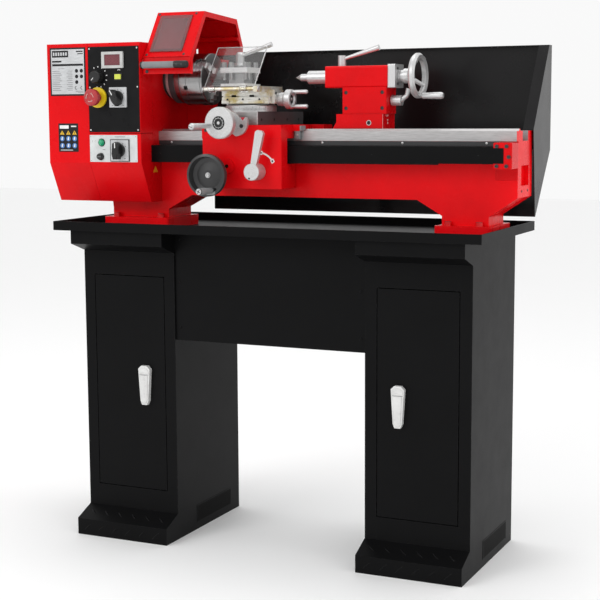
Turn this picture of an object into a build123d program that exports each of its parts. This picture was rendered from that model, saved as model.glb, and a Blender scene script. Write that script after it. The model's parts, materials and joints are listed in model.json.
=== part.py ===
from build123d import *
import math
import os

# Bench metal lathe on a two-cabinet stand, in millimetres.
# X runs from the headstock to the tailstock, Y from the operator to the back, Z up.
# Everything is modelled around the lathe axis: X = 0 midway between the cabinets, Y = 0 in the
# upright plane through the spindle, Z = 0 on the floor. The parts are then moved by ROW_SHIFT_Y, so
# that the origin lies under the middle of the whole machine.

ROW_SHIFT_Y = 28.0

# Stand
SHEET = 2.0
CABINET_X = (248.0, 503.0)
CABINET_Y = (-137.5, 189.5)
CABINET_HEIGHT = 763.0
FLARE = 58.5
HEAD_Z = (710.0, 730.0)
TOE_Z = (41.0, 65.0)
DOOR_SIZE = (194.0, 529.0)
DOOR_BOTTOM = 120.7
DOOR_DEPTH = 17.0
DOOR_GAP = 2.0
HINGE_INSET = 8.0
HINGE_PIN_RADIUS = 3.0
LATCH_X = 331.5
LATCH_Z = 415.0
LATCH_LENGTH = 97.0
LATCH_WIDTH = 32.0
ANCHOR_SPACING = (175.0, 240.0)
ANCHOR_RADIUS = 6.0
SKIRT_Z = (499.0, 763.0)
SKIRT_FRONT = -132.5
TRAY_X = 544.0
TRAY_Y = 209.0
TRAY_LIP = 22.0
SPLASH_X = (-245.0, 583.0)
SPLASH_Y = 192.0
SPLASH_TOP = 1197.0
SPLASH_BEND_Z = 955.0
SPLASH_BOTTOM = (68.0, 806.0)
SPLASH_LIP = 20.0
SPLASH_FLANGE = 25.0
SPLASH_WING_TOP_Y = 169.0
SPLASH_LEFT_ELBOW = (70.5, 1030.0)
SPLASH_RIGHT_ELBOW = (45.0, 1003.0)
GUSSETS_X = (-150.0, 180.0, 500.0)
GUSSET_Z = (870.0, 940.0)

# Bed
TRAY_TOP = CABINET_HEIGHT + SHEET
BED_TOP = 1001.5
CENTRE_HEIGHT = 125.0
AXIS_Z = BED_TOP + CENTRE_HEIGHT
BED_X = (-470.0, 577.0)
WAY_DEPTH = 22.5
WAY_Y = 67.5
WAY_GAP = 22.0
WALL_Y = (38.0, 56.0)
BED_BOTTOM = 846.0
VEE_Y = -45.0
VEE_HALF = 6.0
VEE_HEIGHT = 5.0
BED_END_RELIEF = ((563.4, 845.0), (578.0, 854.7), (578.0, 845.0))
END_PLATE = 12.0
END_RECESS = (11.0, (-30.0, 30.0), (880.0, 925.0))
RIBS_X = (-200.0, -80.0, 40.0, 160.0, 280.0)
RIB_TOP = 945.0
FLANGE_Z = 790.0
# Each foot: its (x, z) outline, the X limits of its flange and half the flange's depth
RIGHT_FOOT = (
    ((342, 870), (342, 846), (402, 811), (402, 788), (512, 788), (512, 811), (577, 854), (577, 870)),
    (390.0, 523.0),
    78.0,
)
LEFT_FOOT = (
    ((-241, 870), (-241, 846), (-307, 811), (-307, 788), (-466, 788), (-466, 811), (-470, 846), (-470, 870)),
    (-480.0, -296.0),
    80.0,
)
FOOT_BOLT_Y = 66.0
FOOT_BOLTS_X = (-450.0, -324.0, 420.0, 493.0)
BOLT_RADIUS = 5.0

# Leadscrew, rack and their guards
SCREW_Y = -80.0
SCREW_Z = 949.0
SCREW_RADIUS = 8.0
COVER_Y = (-104.0, -70.0)
COVER_Z = (930.0, 968.0)
BRACKET_X = (535.0, 577.0)
BRACKET_Z = (919.0, 977.0)
BRACKET_SCREWS = ((543.0, 969.0), (565.0, 969.0), (570.0, 946.0), (543.0, 926.0), (565.0, 926.0))
RACK_X = (-325.0, 534.0)
RACK_Y = (-66.0, -56.0)
RACK_TIP_Z = 965.0
RACK_MODULE = 2.0
RACK_GEAR_TEETH = 46

# Headstock
HEAD_X = (-470.0, -325.0)
HEAD_REAR = 77.0
HEAD_TOP = 1213.0
COVER_LEFT = -588.0
COVER_WINDOW = 19.0
PANEL_FRONT = -151.5
BOX_REAR = -96.0
BOX_BOTTOM = 830.0
BOX_CREASE = 925.0
BOX_SPLIT = 998.0
BOX_SLANT = 44.5
PANEL_THICKNESS = 1.5
HOUSING_X = (-470.0, -250.0)
HOUSING_Y = (77.0, 190.0)
HOUSING_Z = (850.0, 1178.0)
COVER_HINGE = (-470.5, 194.5)
COVER_KNUCKLES_Z = ((905.0, 945.0), (1065.0, 1105.0))
COVER_PIN_RADIUS = 2.5
KNUCKLE_RADIUS = 4.5
SPEED_KNOB = (-441.0, 1132.0)
ESTOP = (-442.0, 1083.0)
DISPLAY = (-398.0, 1172.0)
PANEL_BUTTON = (-384.0, 1132.0)
DIRECTION_SWITCH = (-385.0, 1083.0)
POWER_SWITCH = (-383.0, 956.0)
POWER_LAMP = (-435.0, 975.0)
FUSE = (-438.0, 941.0)

# Spindle drive
SPINDLE_BORE = 13.0
SPINDLE_RADIUS = 20.0
BEARING_RADIUS = 40.0
BEARING_WIDTH = 18.0
MOTOR_Y = 133.5
MOTOR_Z = 960.0
SPINDLE_PULLEY_RADIUS = 55.0
MOTOR_PULLEY_RADIUS = 35.0
BELT_X = (-518.0, -502.0)
GEAR_X = (-556.0, -544.0)
GEAR_MODULE = 1.5
SPINDLE_TEETH = 40
STUD_TEETH = 73
SCREW_TEETH = 75
STUD_RADIUS = 8.0

# Chuck and its guard
CHUCK_FACE = -207.5
CHUCK_BACK = -271.7
BACKPLATE_X = (-303.0, -271.7)
CHUCK_RADIUS = 62.5
CHUCK_BORE = 16.0
JAW_WIDTH = 17.4
JAW_ANGLES = (20.0, 140.0, 260.0)
GUARD_X = (-323.0, -195.0)
GUARD_OUTLINE = ((-140.0, 1137.0), (-137.0, 1177.0), (-64.0, 1286.0), (104.0, 1276.0), (137.0, 1208.0))
GUARD_PIVOT = (115.0, 1228.0)
GUARD_SHAFT_RADIUS = 6.0
WINDOW_X = (-309.0, -222.0)

# Carriage
SADDLE_X = (-165.0, 41.5)
APRON_FRONT = -140.6
SADDLE_BOTTOM = 985.0
SADDLE_TOP = 1016.0
APRON_BOTTOM = 869.0
SLIDE_GAP = 0.3
CROSS_X = (-146.0, -30.0)
CROSS_Y = (-117.0, 138.0)
CROSS_TOP = 1047.0
CROSS_DOVETAIL_TOP = 1028.0
CROSS_SCREW_X = -88.0
CROSS_SCREW_Z = 1021.5
CROSS_SCREW_RADIUS = 5.0
CROSS_WHEEL_RADIUS = 36.5
APRON_WHEEL = (-127.0, 901.0)
APRON_WHEEL_RADIUS = 49.5
RACK_SHAFT_X = -97.0
APRON_PINION_TEETH = 12
APRON_GEAR_TEETH = 60
HALF_NUT_LEVER = (-17.4, 909.0)
CAM_OFFSET = 7.8
SWIVEL = (-93.0, -24.0)
SWIVEL_RADIUS = 61.0
SWIVEL_TOP = 1062.0
TOP_SLIDE_X = (-152.0, -28.0)
TOP_SLIDE_TOP = 1106.0
TOP_SLIDE_WIDTH = 76.0
TOP_SCREW_Z = 1076.0
POST = (-124.0, -18.0)
POST_HALF = 36.0
POST_STUD_RADIUS = 8.0
POST_SCREWS = ((-28, -28), (-28, 28), (28, -28), (28, 28), (-9, -28), (9, 28), (28, -9), (-28, 9))
TOOL_GUARD_X = (-171.0, -40.0)
TOOL_GUARD_PIVOT = (-116.0, 1100.0)

# Tailstock
TAIL_BARREL_X = (103.5, 259.0)
TAIL_BARREL_Z = (1101.0, 1151.0)
TAIL_BARREL_Y = 30.0
QUILL_RADIUS = 15.5
QUILL_X = (49.0, 210.0)
CENTRE_TIP = 15.0
TAIL_SCREW_RADIUS = 8.0
TAIL_WHEEL_RADIUS = 51.5
FIT = 0.05


def middle(pair):
    return (pair[0] + pair[1]) / 2


def block(x, y, z):
    """A box between the (low, high) limits given along each axis."""
    size = [high - low for low, high in (x, y, z)]
    return Pos(middle(x), middle(y), middle(z)) * Box(*size)


def rounded_block(x, y, z, radius, axis=Axis.Z):
    """A box whose edges along one axis are rounded."""
    solid = block(x, y, z)
    return fillet(solid.edges().filter_by(axis), radius)


def upright(radius, height):
    return Cylinder(radius, height, align=(Align.CENTER, Align.CENTER, Align.MIN))


def bar_x(x, y, z, radius):
    return Pos(x[0], y, z) * Rot(0, 90, 0) * upright(radius, x[1] - x[0])


def bar_y(x, y, z, radius):
    return Pos(x, y[0], z) * Rot(-90, 0, 0) * upright(radius, y[1] - y[0])


def bar_z(x, y, z, radius):
    return Pos(x, y, z[0]) * upright(radius, z[1] - z[0])


def turned(points):
    """A solid of revolution about Z through (radius, height) points."""
    return revolve(Plane.XZ * Polygon(*points, align=None), axis=Axis.Z)


def turned_x(points, y, z):
    """A solid of revolution about an X axis through (radius, x) points."""
    return Pos(0, y, z) * Rot(0, 90, 0) * turned(points)


def turned_y(points, x, z):
    """A solid of revolution about a Y axis through (radius, y) points."""
    return Pos(x, 0, z) * Rot(-90, 0, 0) * turned(points)


def prism_x(points, x):
    """A prism along X with an outline of (y, z) points."""
    face = Plane.YZ.offset(x[0]) * Polygon(*points, align=None)
    return extrude(face, amount=x[1] - x[0], dir=(1, 0, 0))


def prism_y(points, y):
    """A prism along Y with an outline of (x, z) points."""
    face = Plane.XZ.offset(-y[0]) * Polygon(*points, align=None)
    return extrude(face, amount=y[1] - y[0], dir=(0, 1, 0))


def prism_z(points, z):
    """A prism along Z with an outline of (x, y) points."""
    face = Plane.XY.offset(z[0]) * Polygon(*points, align=None)
    return extrude(face, amount=z[1] - z[0], dir=(0, 0, 1))


def rod_between(start, end, radius, tip_radius=None):
    """A straight round rod, or a tapered one, between two points."""
    line = Vector(*end) - Vector(*start)
    place = Plane(origin=start, z_dir=line)
    if tip_radius is None:
        return place * upright(radius, line.length)
    return place * Cone(radius, tip_radius, line.length, align=(Align.CENTER, Align.CENTER, Align.MIN))


def group(*solids):
    """Separate solids kept together in one node."""
    return Compound(children=list(solids))


def gear_outline(teeth, module, phase_deg):
    """Outline of a spur gear with straight-sided teeth; a tooth points along phase_deg."""
    pitch_radius = teeth * module / 2
    tip = pitch_radius + 0.8 * module
    root = pitch_radius - 1.2 * module
    step = 2 * math.pi / teeth
    points = []
    for tooth in range(teeth):
        centre = math.radians(phase_deg) + tooth * step
        for radius, share in ((root, -0.27), (tip, -0.12), (tip, 0.12), (root, 0.27)):
            angle = centre + share * step
            points.append((radius * math.cos(angle), radius * math.sin(angle)))
    return points


def gear_in_yz(teeth, module, x, y, z, bore, phase_deg):
    """A spur gear about an X axis; its phase is measured from +Y towards +Z."""
    blank = prism_x(gear_outline(teeth, module, phase_deg), x)
    return Pos(0, y, z) * (blank - bar_x(x, 0, 0, bore))


def gear_in_xz(teeth, module, y, x, z, phase_deg):
    """A spur gear about a Y axis; its phase is measured from +X towards +Z."""
    return Pos(x, 0, z) * prism_y(gear_outline(teeth, module, phase_deg), y)


# ---------------------------------------------------------------- stand


def cabinet_outline():
    """Side outline of a cabinet: a straight back, a flared head and a toe."""
    front, rear = CABINET_Y
    nose = front - FLARE
    return [
        (rear, 0),
        (rear, CABINET_HEIGHT),
        (nose, CABINET_HEIGHT),
        (nose, HEAD_Z[1]),
        (front, HEAD_Z[0]),
        (front, TOE_Z[1]),
        (nose, TOE_Z[0]),
        (nose, 0),
    ]


def door_span(side):
    """The door's (low, high) X limits on the left (-1) or right (+1) cabinet."""
    centre = side * middle(CABINET_X)
    return (centre - DOOR_SIZE[0] / 2, centre + DOOR_SIZE[0] / 2)


def hinge_x(side):
    """X of a door's hinge axis: each door is hung on its outer edge."""
    return side * (max(abs(edge) for edge in door_span(side)) - HINGE_INSET)


def hinge_pins(side):
    """Pin and welded tab below and above the door."""
    low = DOOR_BOTTOM - 12.7
    high = DOOR_BOTTOM + DOOR_SIZE[1] + 8.3
    x = hinge_x(side)
    y = CABINET_Y[0] + HINGE_INSET
    tab_x = (x - 10, x + 10)
    tab_y = (CABINET_Y[0] + SHEET, y + HINGE_INSET)
    lower = block(tab_x, tab_y, (low, low + 4)) + bar_z(x, y, (low, low + 22), HINGE_PIN_RADIUS)
    upper = block(tab_x, tab_y, (high, high + 4)) + bar_z(x, y, (high - 18, high + 4), HINGE_PIN_RADIUS)
    return [lower, upper]


def cabinet_front(span, door_x):
    """The sheets round the door opening, and the folded sheets of the head and the toe."""
    front = CABINET_Y[0]
    nose = front - FLARE
    door_x = (door_x[0] - DOOR_GAP, door_x[1] + DOOR_GAP)
    door_z = (DOOR_BOTTOM - DOOR_GAP, DOOR_BOTTOM + DOOR_SIZE[1] + DOOR_GAP)
    face = (front, front + SHEET)
    nose_face = (nose, nose + SHEET)
    sheets = [
        block((span[0], door_x[0]), face, (TOE_Z[1], HEAD_Z[0])),
        block((door_x[1], span[1]), face, (TOE_Z[1], HEAD_Z[0])),
        block(door_x, face, (TOE_Z[1], door_z[0])),
        block(door_x, face, (door_z[1], HEAD_Z[0])),
        block(span, nose_face, (HEAD_Z[1], CABINET_HEIGHT)),
        block(span, nose_face, (0, TOE_Z[0])),
    ]
    for low, high in (((nose, TOE_Z[0]), (front, TOE_Z[1])), ((nose, HEAD_Z[1]), (front, HEAD_Z[0]))):
        slope = [low, high, (high[0] + SHEET, high[1]), (low[0] + SHEET, low[1])]
        sheets.append(prism_x(slope, span))
    return sheets


def cabinet(side):
    """A cabinet of welded sheets with its door opening, anchor holes and foot-bolt holes."""
    span = sorted((side * CABINET_X[0], side * CABINET_X[1]))
    inner = (span[0] + SHEET, span[1] - SHEET)
    rear = CABINET_Y[1]
    depth = (CABINET_Y[0] - FLARE + SHEET, rear - SHEET)
    floor = block(inner, depth, (0, SHEET))
    for dx in (-ANCHOR_SPACING[0] / 2, ANCHOR_SPACING[0] / 2):
        for dy in (-ANCHOR_SPACING[1] / 2, ANCHOR_SPACING[1] / 2):
            centre = (side * middle(CABINET_X) + dx, middle(CABINET_Y) + dy)
            floor -= bar_z(*centre, (-1, SHEET + 1), ANCHOR_RADIUS)
    roof = block(inner, depth, (CABINET_HEIGHT - SHEET, CABINET_HEIGHT))
    for x in FOOT_BOLTS_X:
        if x * side > 0:
            for y in (-FOOT_BOLT_Y, FOOT_BOLT_Y):
                roof -= bar_z(x, y, (CABINET_HEIGHT - 4, CABINET_HEIGHT + 1), BOLT_RADIUS + 0.5)
    sheets = [floor, roof, block(inner, (rear - SHEET, rear), (0, CABINET_HEIGHT))]
    for edge in (span[0], inner[1]):
        sheets.append(prism_x(cabinet_outline(), (edge, edge + SHEET)))
    return group(*sheets, *cabinet_front(inner, door_span(side)), *hinge_pins(side))


def door(side):
    """A door pressed as a shallow pan, with holes for its hinge pins and latch spindle."""
    x = door_span(side)
    y = (CABINET_Y[0], CABINET_Y[0] + DOOR_DEPTH)
    z = (DOOR_BOTTOM, DOOR_BOTTOM + DOOR_SIZE[1])
    pan = block(x, y, z)
    pan -= block(
        (x[0] + SHEET, x[1] - SHEET),
        (y[0] + SHEET, y[1] + 1),
        (z[0] + SHEET, z[1] - SHEET),
    )
    pan -= bar_z(hinge_x(side), y[0] + HINGE_INSET, (z[0] - 1, z[1] + 1), HINGE_PIN_RADIUS + FIT)
    pan -= bar_y(side * LATCH_X, (y[0] - 1, y[0] + SHEET + 1), LATCH_Z, 5.0 + FIT)
    return pan


def latch(side):
    """A tapered lever on a spindle through the door, and the cam it turns behind it."""
    x = side * LATCH_X
    face = CABINET_Y[0] - 0.5
    top = LATCH_Z + LATCH_WIDTH / 2
    low = top - LATCH_LENGTH
    half = LATCH_WIDTH / 2
    outline = [
        (x - half, top - 8),
        (x - half + 8, top),
        (x + half - 8, top),
        (x + half, top - 8),
        (x + half - 5, low + 10),
        (x + half - 9, low),
        (x - half + 9, low),
        (x - half + 5, low + 10),
    ]
    lever = prism_y(outline, (face - 11, face))
    lever += bar_y(x, (face - 2, CABINET_Y[0] + 21), LATCH_Z, 5.0)
    cam_y = (CABINET_Y[0] + 18, CABINET_Y[0] + 21)
    cam = block((x - 9, x + 9), cam_y, (LATCH_Z - 62, LATCH_Z + 9))
    return lever + cam


def skirt_panel():
    """The sheet between the cabinets, folded back along both ends and its lower edge."""
    x = (-CABINET_X[0], CABINET_X[0])
    y = (SKIRT_FRONT, SKIRT_FRONT + SHEET)
    panel = block(x, y, SKIRT_Z)
    for end in ((x[0], x[0] + SHEET), (x[1] - SHEET, x[1])):
        panel += block(end, (y[0], y[0] + 25), SKIRT_Z)
    panel += block(x, (y[0], y[0] + 15), (SKIRT_Z[0], SKIRT_Z[0] + SHEET))
    return panel


def chip_tray():
    tray = block((-TRAY_X, TRAY_X), (-TRAY_Y, TRAY_Y), (CABINET_HEIGHT, CABINET_HEIGHT + TRAY_LIP))
    tray -= block(
        (SHEET - TRAY_X, TRAY_X - SHEET),
        (SHEET - TRAY_Y, TRAY_Y - SHEET),
        (TRAY_TOP, TRAY_TOP + TRAY_LIP),
    )
    for x in FOOT_BOLTS_X:
        for y in (-FOOT_BOLT_Y, FOOT_BOLT_Y):
            tray -= bar_z(x, y, (CABINET_HEIGHT - 1, TRAY_TOP + 1), BOLT_RADIUS + 0.5)
    return tray


def splash_inner_y(z):
    """Y of the splash guard's front surface at a height below its bend."""
    low_y, low_z = SPLASH_BOTTOM
    return low_y + (z - low_z) * (SPLASH_Y - SHEET - low_y) / (SPLASH_BEND_Z - low_z)


def splash_guard():
    """Back sheet, top lip, forward-sloping foot, two end wings with flanges, and three gussets."""
    low_y, low_z = SPLASH_BOTTOM
    inner = SPLASH_Y - SHEET
    lip_z = SPLASH_TOP - SHEET
    wing_top = (SPLASH_WING_TOP_Y, lip_z)
    foot = [
        (inner, SPLASH_BEND_Z),
        (SPLASH_Y, SPLASH_BEND_Z),
        (low_y + SHEET, low_z - 1),
        (low_y, low_z),
    ]
    sheets = [
        block(SPLASH_X, (inner, SPLASH_Y), (SPLASH_BEND_Z, lip_z)),
        block(SPLASH_X, (inner - SPLASH_LIP, SPLASH_Y), (lip_z, SPLASH_TOP)),
        prism_x(foot, SPLASH_X),
    ]
    rear_edge = [(inner, lip_z), (inner, SPLASH_BEND_Z), (low_y, low_z)]
    left, right = SPLASH_X
    for elbow, wing_x, flange_x in (
        (SPLASH_LEFT_ELBOW, (left, left + SHEET), (left + SHEET, left + SPLASH_FLANGE)),
        (SPLASH_RIGHT_ELBOW, (right - SHEET, right), (right - SPLASH_FLANGE, right - SHEET)),
    ):
        sheets.append(prism_x([elbow, wing_top, *rear_edge], wing_x))
        strip = [elbow, wing_top, (wing_top[0] + SHEET, lip_z), (elbow[0] + SHEET, elbow[1])]
        sheets.append(prism_x(strip, flange_x))
    low, high = GUSSET_Z
    outline = [
        (WALL_Y[1], low),
        (WALL_Y[1], high),
        (splash_inner_y(high), high),
        (splash_inner_y(low), low),
    ]
    for x in GUSSETS_X:
        sheets.append(prism_x(outline, (x - SHEET, x + SHEET)))
    return group(*sheets)


# ---------------------------------------------------------------- bed


def bed():
    """Cast bed: two walls with ground ways, cross ribs, an end plate and two feet."""
    low = BED_TOP - WAY_DEPTH
    casting = None
    for side in (-1, 1):
        outline = [
            (side * WAY_Y, low),
            (side * WAY_Y, BED_TOP),
            (side * WAY_GAP, BED_TOP),
            (side * WAY_GAP, low),
            (side * WALL_Y[0], low - 14),
            (side * WALL_Y[0], BED_BOTTOM),
            (side * WALL_Y[1], BED_BOTTOM),
            (side * WALL_Y[1], low),
        ]
        wall = prism_x(outline, BED_X)
        casting = wall if casting is None else casting + wall
    vee = [
        (VEE_Y - VEE_HALF, BED_TOP),
        (VEE_Y + VEE_HALF, BED_TOP),
        (VEE_Y + 1, BED_TOP + VEE_HEIGHT),
        (VEE_Y - 1, BED_TOP + VEE_HEIGHT),
    ]
    casting += prism_x(vee, (HEAD_X[1], BED_X[1]))
    inside = (-WALL_Y[0], WALL_Y[0])
    for x in RIBS_X:
        casting += block((x - 5, x + 5), inside, (BED_BOTTOM, RIB_TOP))
    end_plate = (BED_X[1] - END_PLATE, BED_X[1])
    casting += block(end_plate, inside, (BED_BOTTOM + 8, low))
    casting -= block((BED_X[1] - END_RECESS[0], BED_X[1] + 1), *END_RECESS[1:])
    width = (-WALL_Y[1], WALL_Y[1])
    casting += block(HEAD_X, width, (960.0, BED_TOP))
    casting -= prism_y(BED_END_RELIEF, (-WALL_Y[1] - 1, WALL_Y[1] + 1))
    for outline, flange_x, half in (RIGHT_FOOT, LEFT_FOOT):
        casting += prism_y(outline, width)
        casting += rounded_block(flange_x, (-half, half), (TRAY_TOP, FLANGE_Z), 8)
    for x in FOOT_BOLTS_X:
        for y in (-FOOT_BOLT_Y, FOOT_BOLT_Y):
            casting -= bar_z(x, y, (TRAY_TOP - 1, FLANGE_Z + 1), BOLT_RADIUS + 0.5)
    return casting


def gear_rack():
    """Rack under the front way, teeth down, with a gap centred over the rack gear's shaft."""
    pitch = math.pi * RACK_MODULE
    top = BED_TOP - WAY_DEPTH
    root = RACK_TIP_Z + 2 * RACK_MODULE
    first = math.ceil((RACK_X[0] - RACK_SHAFT_X) / pitch)
    last = math.floor((RACK_X[1] - RACK_SHAFT_X) / pitch) - 1
    points = [(RACK_X[0], top), (RACK_X[0], root)]
    for tooth in range(first, last):
        centre = RACK_SHAFT_X + (tooth + 0.5) * pitch
        for share, z in ((-0.27, root), (-0.12, RACK_TIP_Z), (0.12, RACK_TIP_Z), (0.27, root)):
            points.append((centre + share * pitch, z))
    points += [(RACK_X[1], root), (RACK_X[1], top)]
    return prism_y(points, RACK_Y)


def stud_centre():
    """Centre of the stud gear, in mesh with the spindle gear and the leadscrew gear."""
    near = (SPINDLE_TEETH + STUD_TEETH) * GEAR_MODULE / 2
    far = (STUD_TEETH + SCREW_TEETH) * GEAR_MODULE / 2
    dy, dz = SCREW_Y, SCREW_Z - AXIS_Z
    distance = math.hypot(dy, dz)
    along = (near**2 - far**2 + distance**2) / (2 * distance)
    across = math.sqrt(near**2 - along**2)
    unit = (dy / distance, dz / distance)
    return (along * unit[0] + across * unit[1], AXIS_Z + along * unit[1] - across * unit[0])


def direction_deg(start, end):
    return math.degrees(math.atan2(end[1] - start[1], end[0] - start[0]))


def gap_phase(teeth, direction):
    """Phase that puts a gap of the gear along a direction."""
    return direction + 180 / teeth


def leadscrew():
    """Leadscrew with its change gear, whose tooth fills the stud gear's gap between them."""
    shaft = bar_x((GEAR_X[0] - 6, 564.0), SCREW_Y, SCREW_Z, SCREW_RADIUS)
    stud = stud_centre()
    screw = (SCREW_Y, SCREW_Z)
    stud_phase = gap_phase(STUD_TEETH, direction_deg(stud, (0, AXIS_Z)))
    towards_screw = direction_deg(stud, screw)
    stud_pitch = 360 / STUD_TEETH
    offset = (towards_screw - stud_phase) % stud_pitch / stud_pitch
    screw_pitch = 360 / SCREW_TEETH
    phase = direction_deg(screw, stud) + (0.5 + offset) * screw_pitch
    gear = gear_in_yz(SCREW_TEETH, GEAR_MODULE, GEAR_X, *screw, SCREW_RADIUS, phase)
    return shaft + gear


def leadscrew_cover():
    """Angle-section shield over the front of the leadscrew."""
    x = (HEAD_X[1], BRACKET_X[0])
    top = block(x, COVER_Y, (COVER_Z[1] - SHEET, COVER_Z[1]))
    return top + block(x, (COVER_Y[0], COVER_Y[0] + SHEET), COVER_Z)


def leadscrew_bracket():
    """End bearing of the leadscrew, bolted to the front of the bed."""
    body = rounded_block(BRACKET_X, (COVER_Y[0], -WALL_Y[1]), BRACKET_Z, 3, Axis.Y)
    return body - bar_x((BRACKET_X[0] - 1, 565.0), SCREW_Y, SCREW_Z, SCREW_RADIUS + FIT)


def socket_screws():
    """Foot bolts, and the socket screws of the leadscrew bracket."""
    bolts = []
    for x in FOOT_BOLTS_X:
        for y in (-FOOT_BOLT_Y, FOOT_BOLT_Y):
            shank = bar_z(x, y, (745.0, FLANGE_Z), BOLT_RADIUS)
            head = bar_z(x, y, (FLANGE_Z, FLANGE_Z + 10), 8.0)
            bolts.append(shank + head - bar_z(x, y, (FLANGE_Z + 4, FLANGE_Z + 11), 4.0))
    face = COVER_Y[0]
    for x, z in BRACKET_SCREWS:
        head = bar_y(x, (face - 4, face), z, 4.0)
        bolts.append(head - bar_y(x, (face - 5, face - 2), z, 1.8))
    return group(*bolts)


# ---------------------------------------------------------------- headstock and controls


def headstock():
    """Cast headstock with bearing bores, its front skirt and the stud for the change gear."""
    casting = block(HEAD_X, (BOX_REAR + 1, HEAD_REAR), (BED_TOP, HEAD_TOP))
    casting += block(HEAD_X, (BOX_REAR + 1, -WALL_Y[1]), (BOX_BOTTOM, BED_TOP))
    casting -= block(HEAD_X, (-WAY_Y, -WALL_Y[1]), (BED_TOP - WAY_DEPTH, BED_TOP))
    casting -= block((HEAD_X[0] + 30, HEAD_X[1] - 30), (-75, 57), (BED_TOP + 14, HEAD_TOP - 12))
    inner_left = (HEAD_X[0] - 1, HEAD_X[0] + 31)
    inner_right = (HEAD_X[1] - 31, HEAD_X[1] + 1)
    for span in (inner_left, inner_right):
        casting -= bar_x(span, 0, AXIS_Z, SPINDLE_RADIUS + 6)
    casting -= bar_x((HEAD_X[0] - 1, HEAD_X[0] + BEARING_WIDTH), 0, AXIS_Z, BEARING_RADIUS)
    casting -= bar_x((HEAD_X[1] - BEARING_WIDTH, HEAD_X[1] + 1), 0, AXIS_Z, BEARING_RADIUS)
    casting -= bar_x((HEAD_X[0] - 1, HEAD_X[1] + 1), SCREW_Y, SCREW_Z, SCREW_RADIUS + 4)
    stud_y, stud_z = stud_centre()
    stud = bar_x((GEAR_X[0] - 8, HEAD_X[0]), stud_y, stud_z, STUD_RADIUS)
    stud += bar_x((GEAR_X[1] + 1, HEAD_X[0]), stud_y, stud_z, STUD_RADIUS + 5)
    return group(casting, stud)


def end_cover_outline(inset):
    return [
        (PANEL_FRONT + inset, BOX_CREASE),
        (PANEL_FRONT + inset, HEAD_TOP - inset),
        (HEAD_REAR - inset, HEAD_TOP - inset),
        (HOUSING_Y[1] - 2 - inset, HOUSING_Z[1] - inset),
        (HOUSING_Y[1] - 2 - inset, BOX_BOTTOM + inset),
        (PANEL_FRONT + BOX_SLANT + inset, BOX_BOTTOM + inset),
    ]


def walls_between(outer, inner, x):
    """The flat walls that join two nested outlines, one to each side, mitred at the corners."""
    walls = []
    for index in range(len(outer)):
        after = (index + 1) % len(outer)
        walls.append(prism_x([outer[index], outer[after], inner[after], inner[index]], x))
    return walls


def cover_plate(x):
    """The end cover's plate in four sheets, welded around a square window on the spindle axis."""
    outline = end_cover_outline(0)
    front, top, bottom = outline[0][0], outline[1][1], outline[4][1]
    low, high = AXIS_Z - COVER_WINDOW, AXIS_Z + COVER_WINDOW
    deep = HOUSING_Y[1]
    sheets = [prism_x(outline, x) & block(x, (front, deep), z) for z in ((high, top), (bottom, low))]
    sheets.append(block(x, (front, -COVER_WINDOW), (low, high)))
    sheets.append(prism_x(outline, x) & block(x, (COVER_WINDOW, deep), (low, high)))
    return sheets


def end_cover():
    """Hinged cover over the belt and change gears, with a window on the spindle axis."""
    outer = end_cover_outline(0)
    x = (COVER_LEFT, HEAD_X[0] - 0.5)
    plate = cover_plate((x[0], x[0] + SHEET))
    walls = walls_between(outer, end_cover_outline(SHEET), (x[0] + SHEET, x[1]))
    pin_x, pin_y = COVER_HINGE
    knuckles = []
    for z in COVER_KNUCKLES_Z:
        web = block((pin_x - 5.5, pin_x - 0.5), (HOUSING_Y[1] - SHEET, pin_y), z)
        knuckle = web + bar_z(pin_x, pin_y, z, KNUCKLE_RADIUS)
        knuckles.append(knuckle - bar_z(pin_x, pin_y, (z[0] - 1, z[1] + 1), COVER_PIN_RADIUS + FIT))
    return group(*plate, *walls, *knuckles)


def lower_box_outline(inset):
    """(y, z) outline of the lower box; its rear stays open when it is drawn in by inset."""
    split = BOX_SPLIT - 1.5
    rear = BOX_REAR + 1 if inset else BOX_REAR
    return [
        (PANEL_FRONT + inset, BOX_CREASE),
        (PANEL_FRONT + inset, split - inset),
        (rear, split - inset),
        (rear, BOX_BOTTOM + inset),
        (PANEL_FRONT + BOX_SLANT + inset, BOX_BOTTOM + inset),
    ]


def electrical_boxes():
    """Two sheet boxes in front of the headstock, open at the back, with panel cut-outs."""
    x = HEAD_X
    inside = (x[0] + SHEET, x[1] - SHEET)
    front_wall = (PANEL_FRONT - 1, PANEL_FRONT + SHEET + 1)
    upper = block(x, (PANEL_FRONT, BOX_REAR), (BOX_SPLIT, HEAD_TOP))
    upper -= block(inside, (PANEL_FRONT + SHEET, BOX_REAR + 1), (BOX_SPLIT + SHEET, HEAD_TOP - SHEET))
    upper -= block((x[0] + 12, x[1] - 12), front_wall, (BOX_SPLIT + 14, HEAD_TOP - 20))
    lower = prism_x(lower_box_outline(0), x) - prism_x(lower_box_outline(SHEET), inside)
    lower -= block((x[0] + 12, x[1] - 20), front_wall, (BOX_CREASE + 8, BOX_SPLIT - 15.5))
    return group(upper, lower)


def panel_plate(x, z, holes):
    y = (PANEL_FRONT - PANEL_THICKNESS, PANEL_FRONT)
    plate = block(x, y, z)
    for (hole_x, hole_z), radius in holes:
        plate -= bar_y(hole_x, (y[0] - 1, y[1] + 1), hole_z, radius)
    return plate


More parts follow.
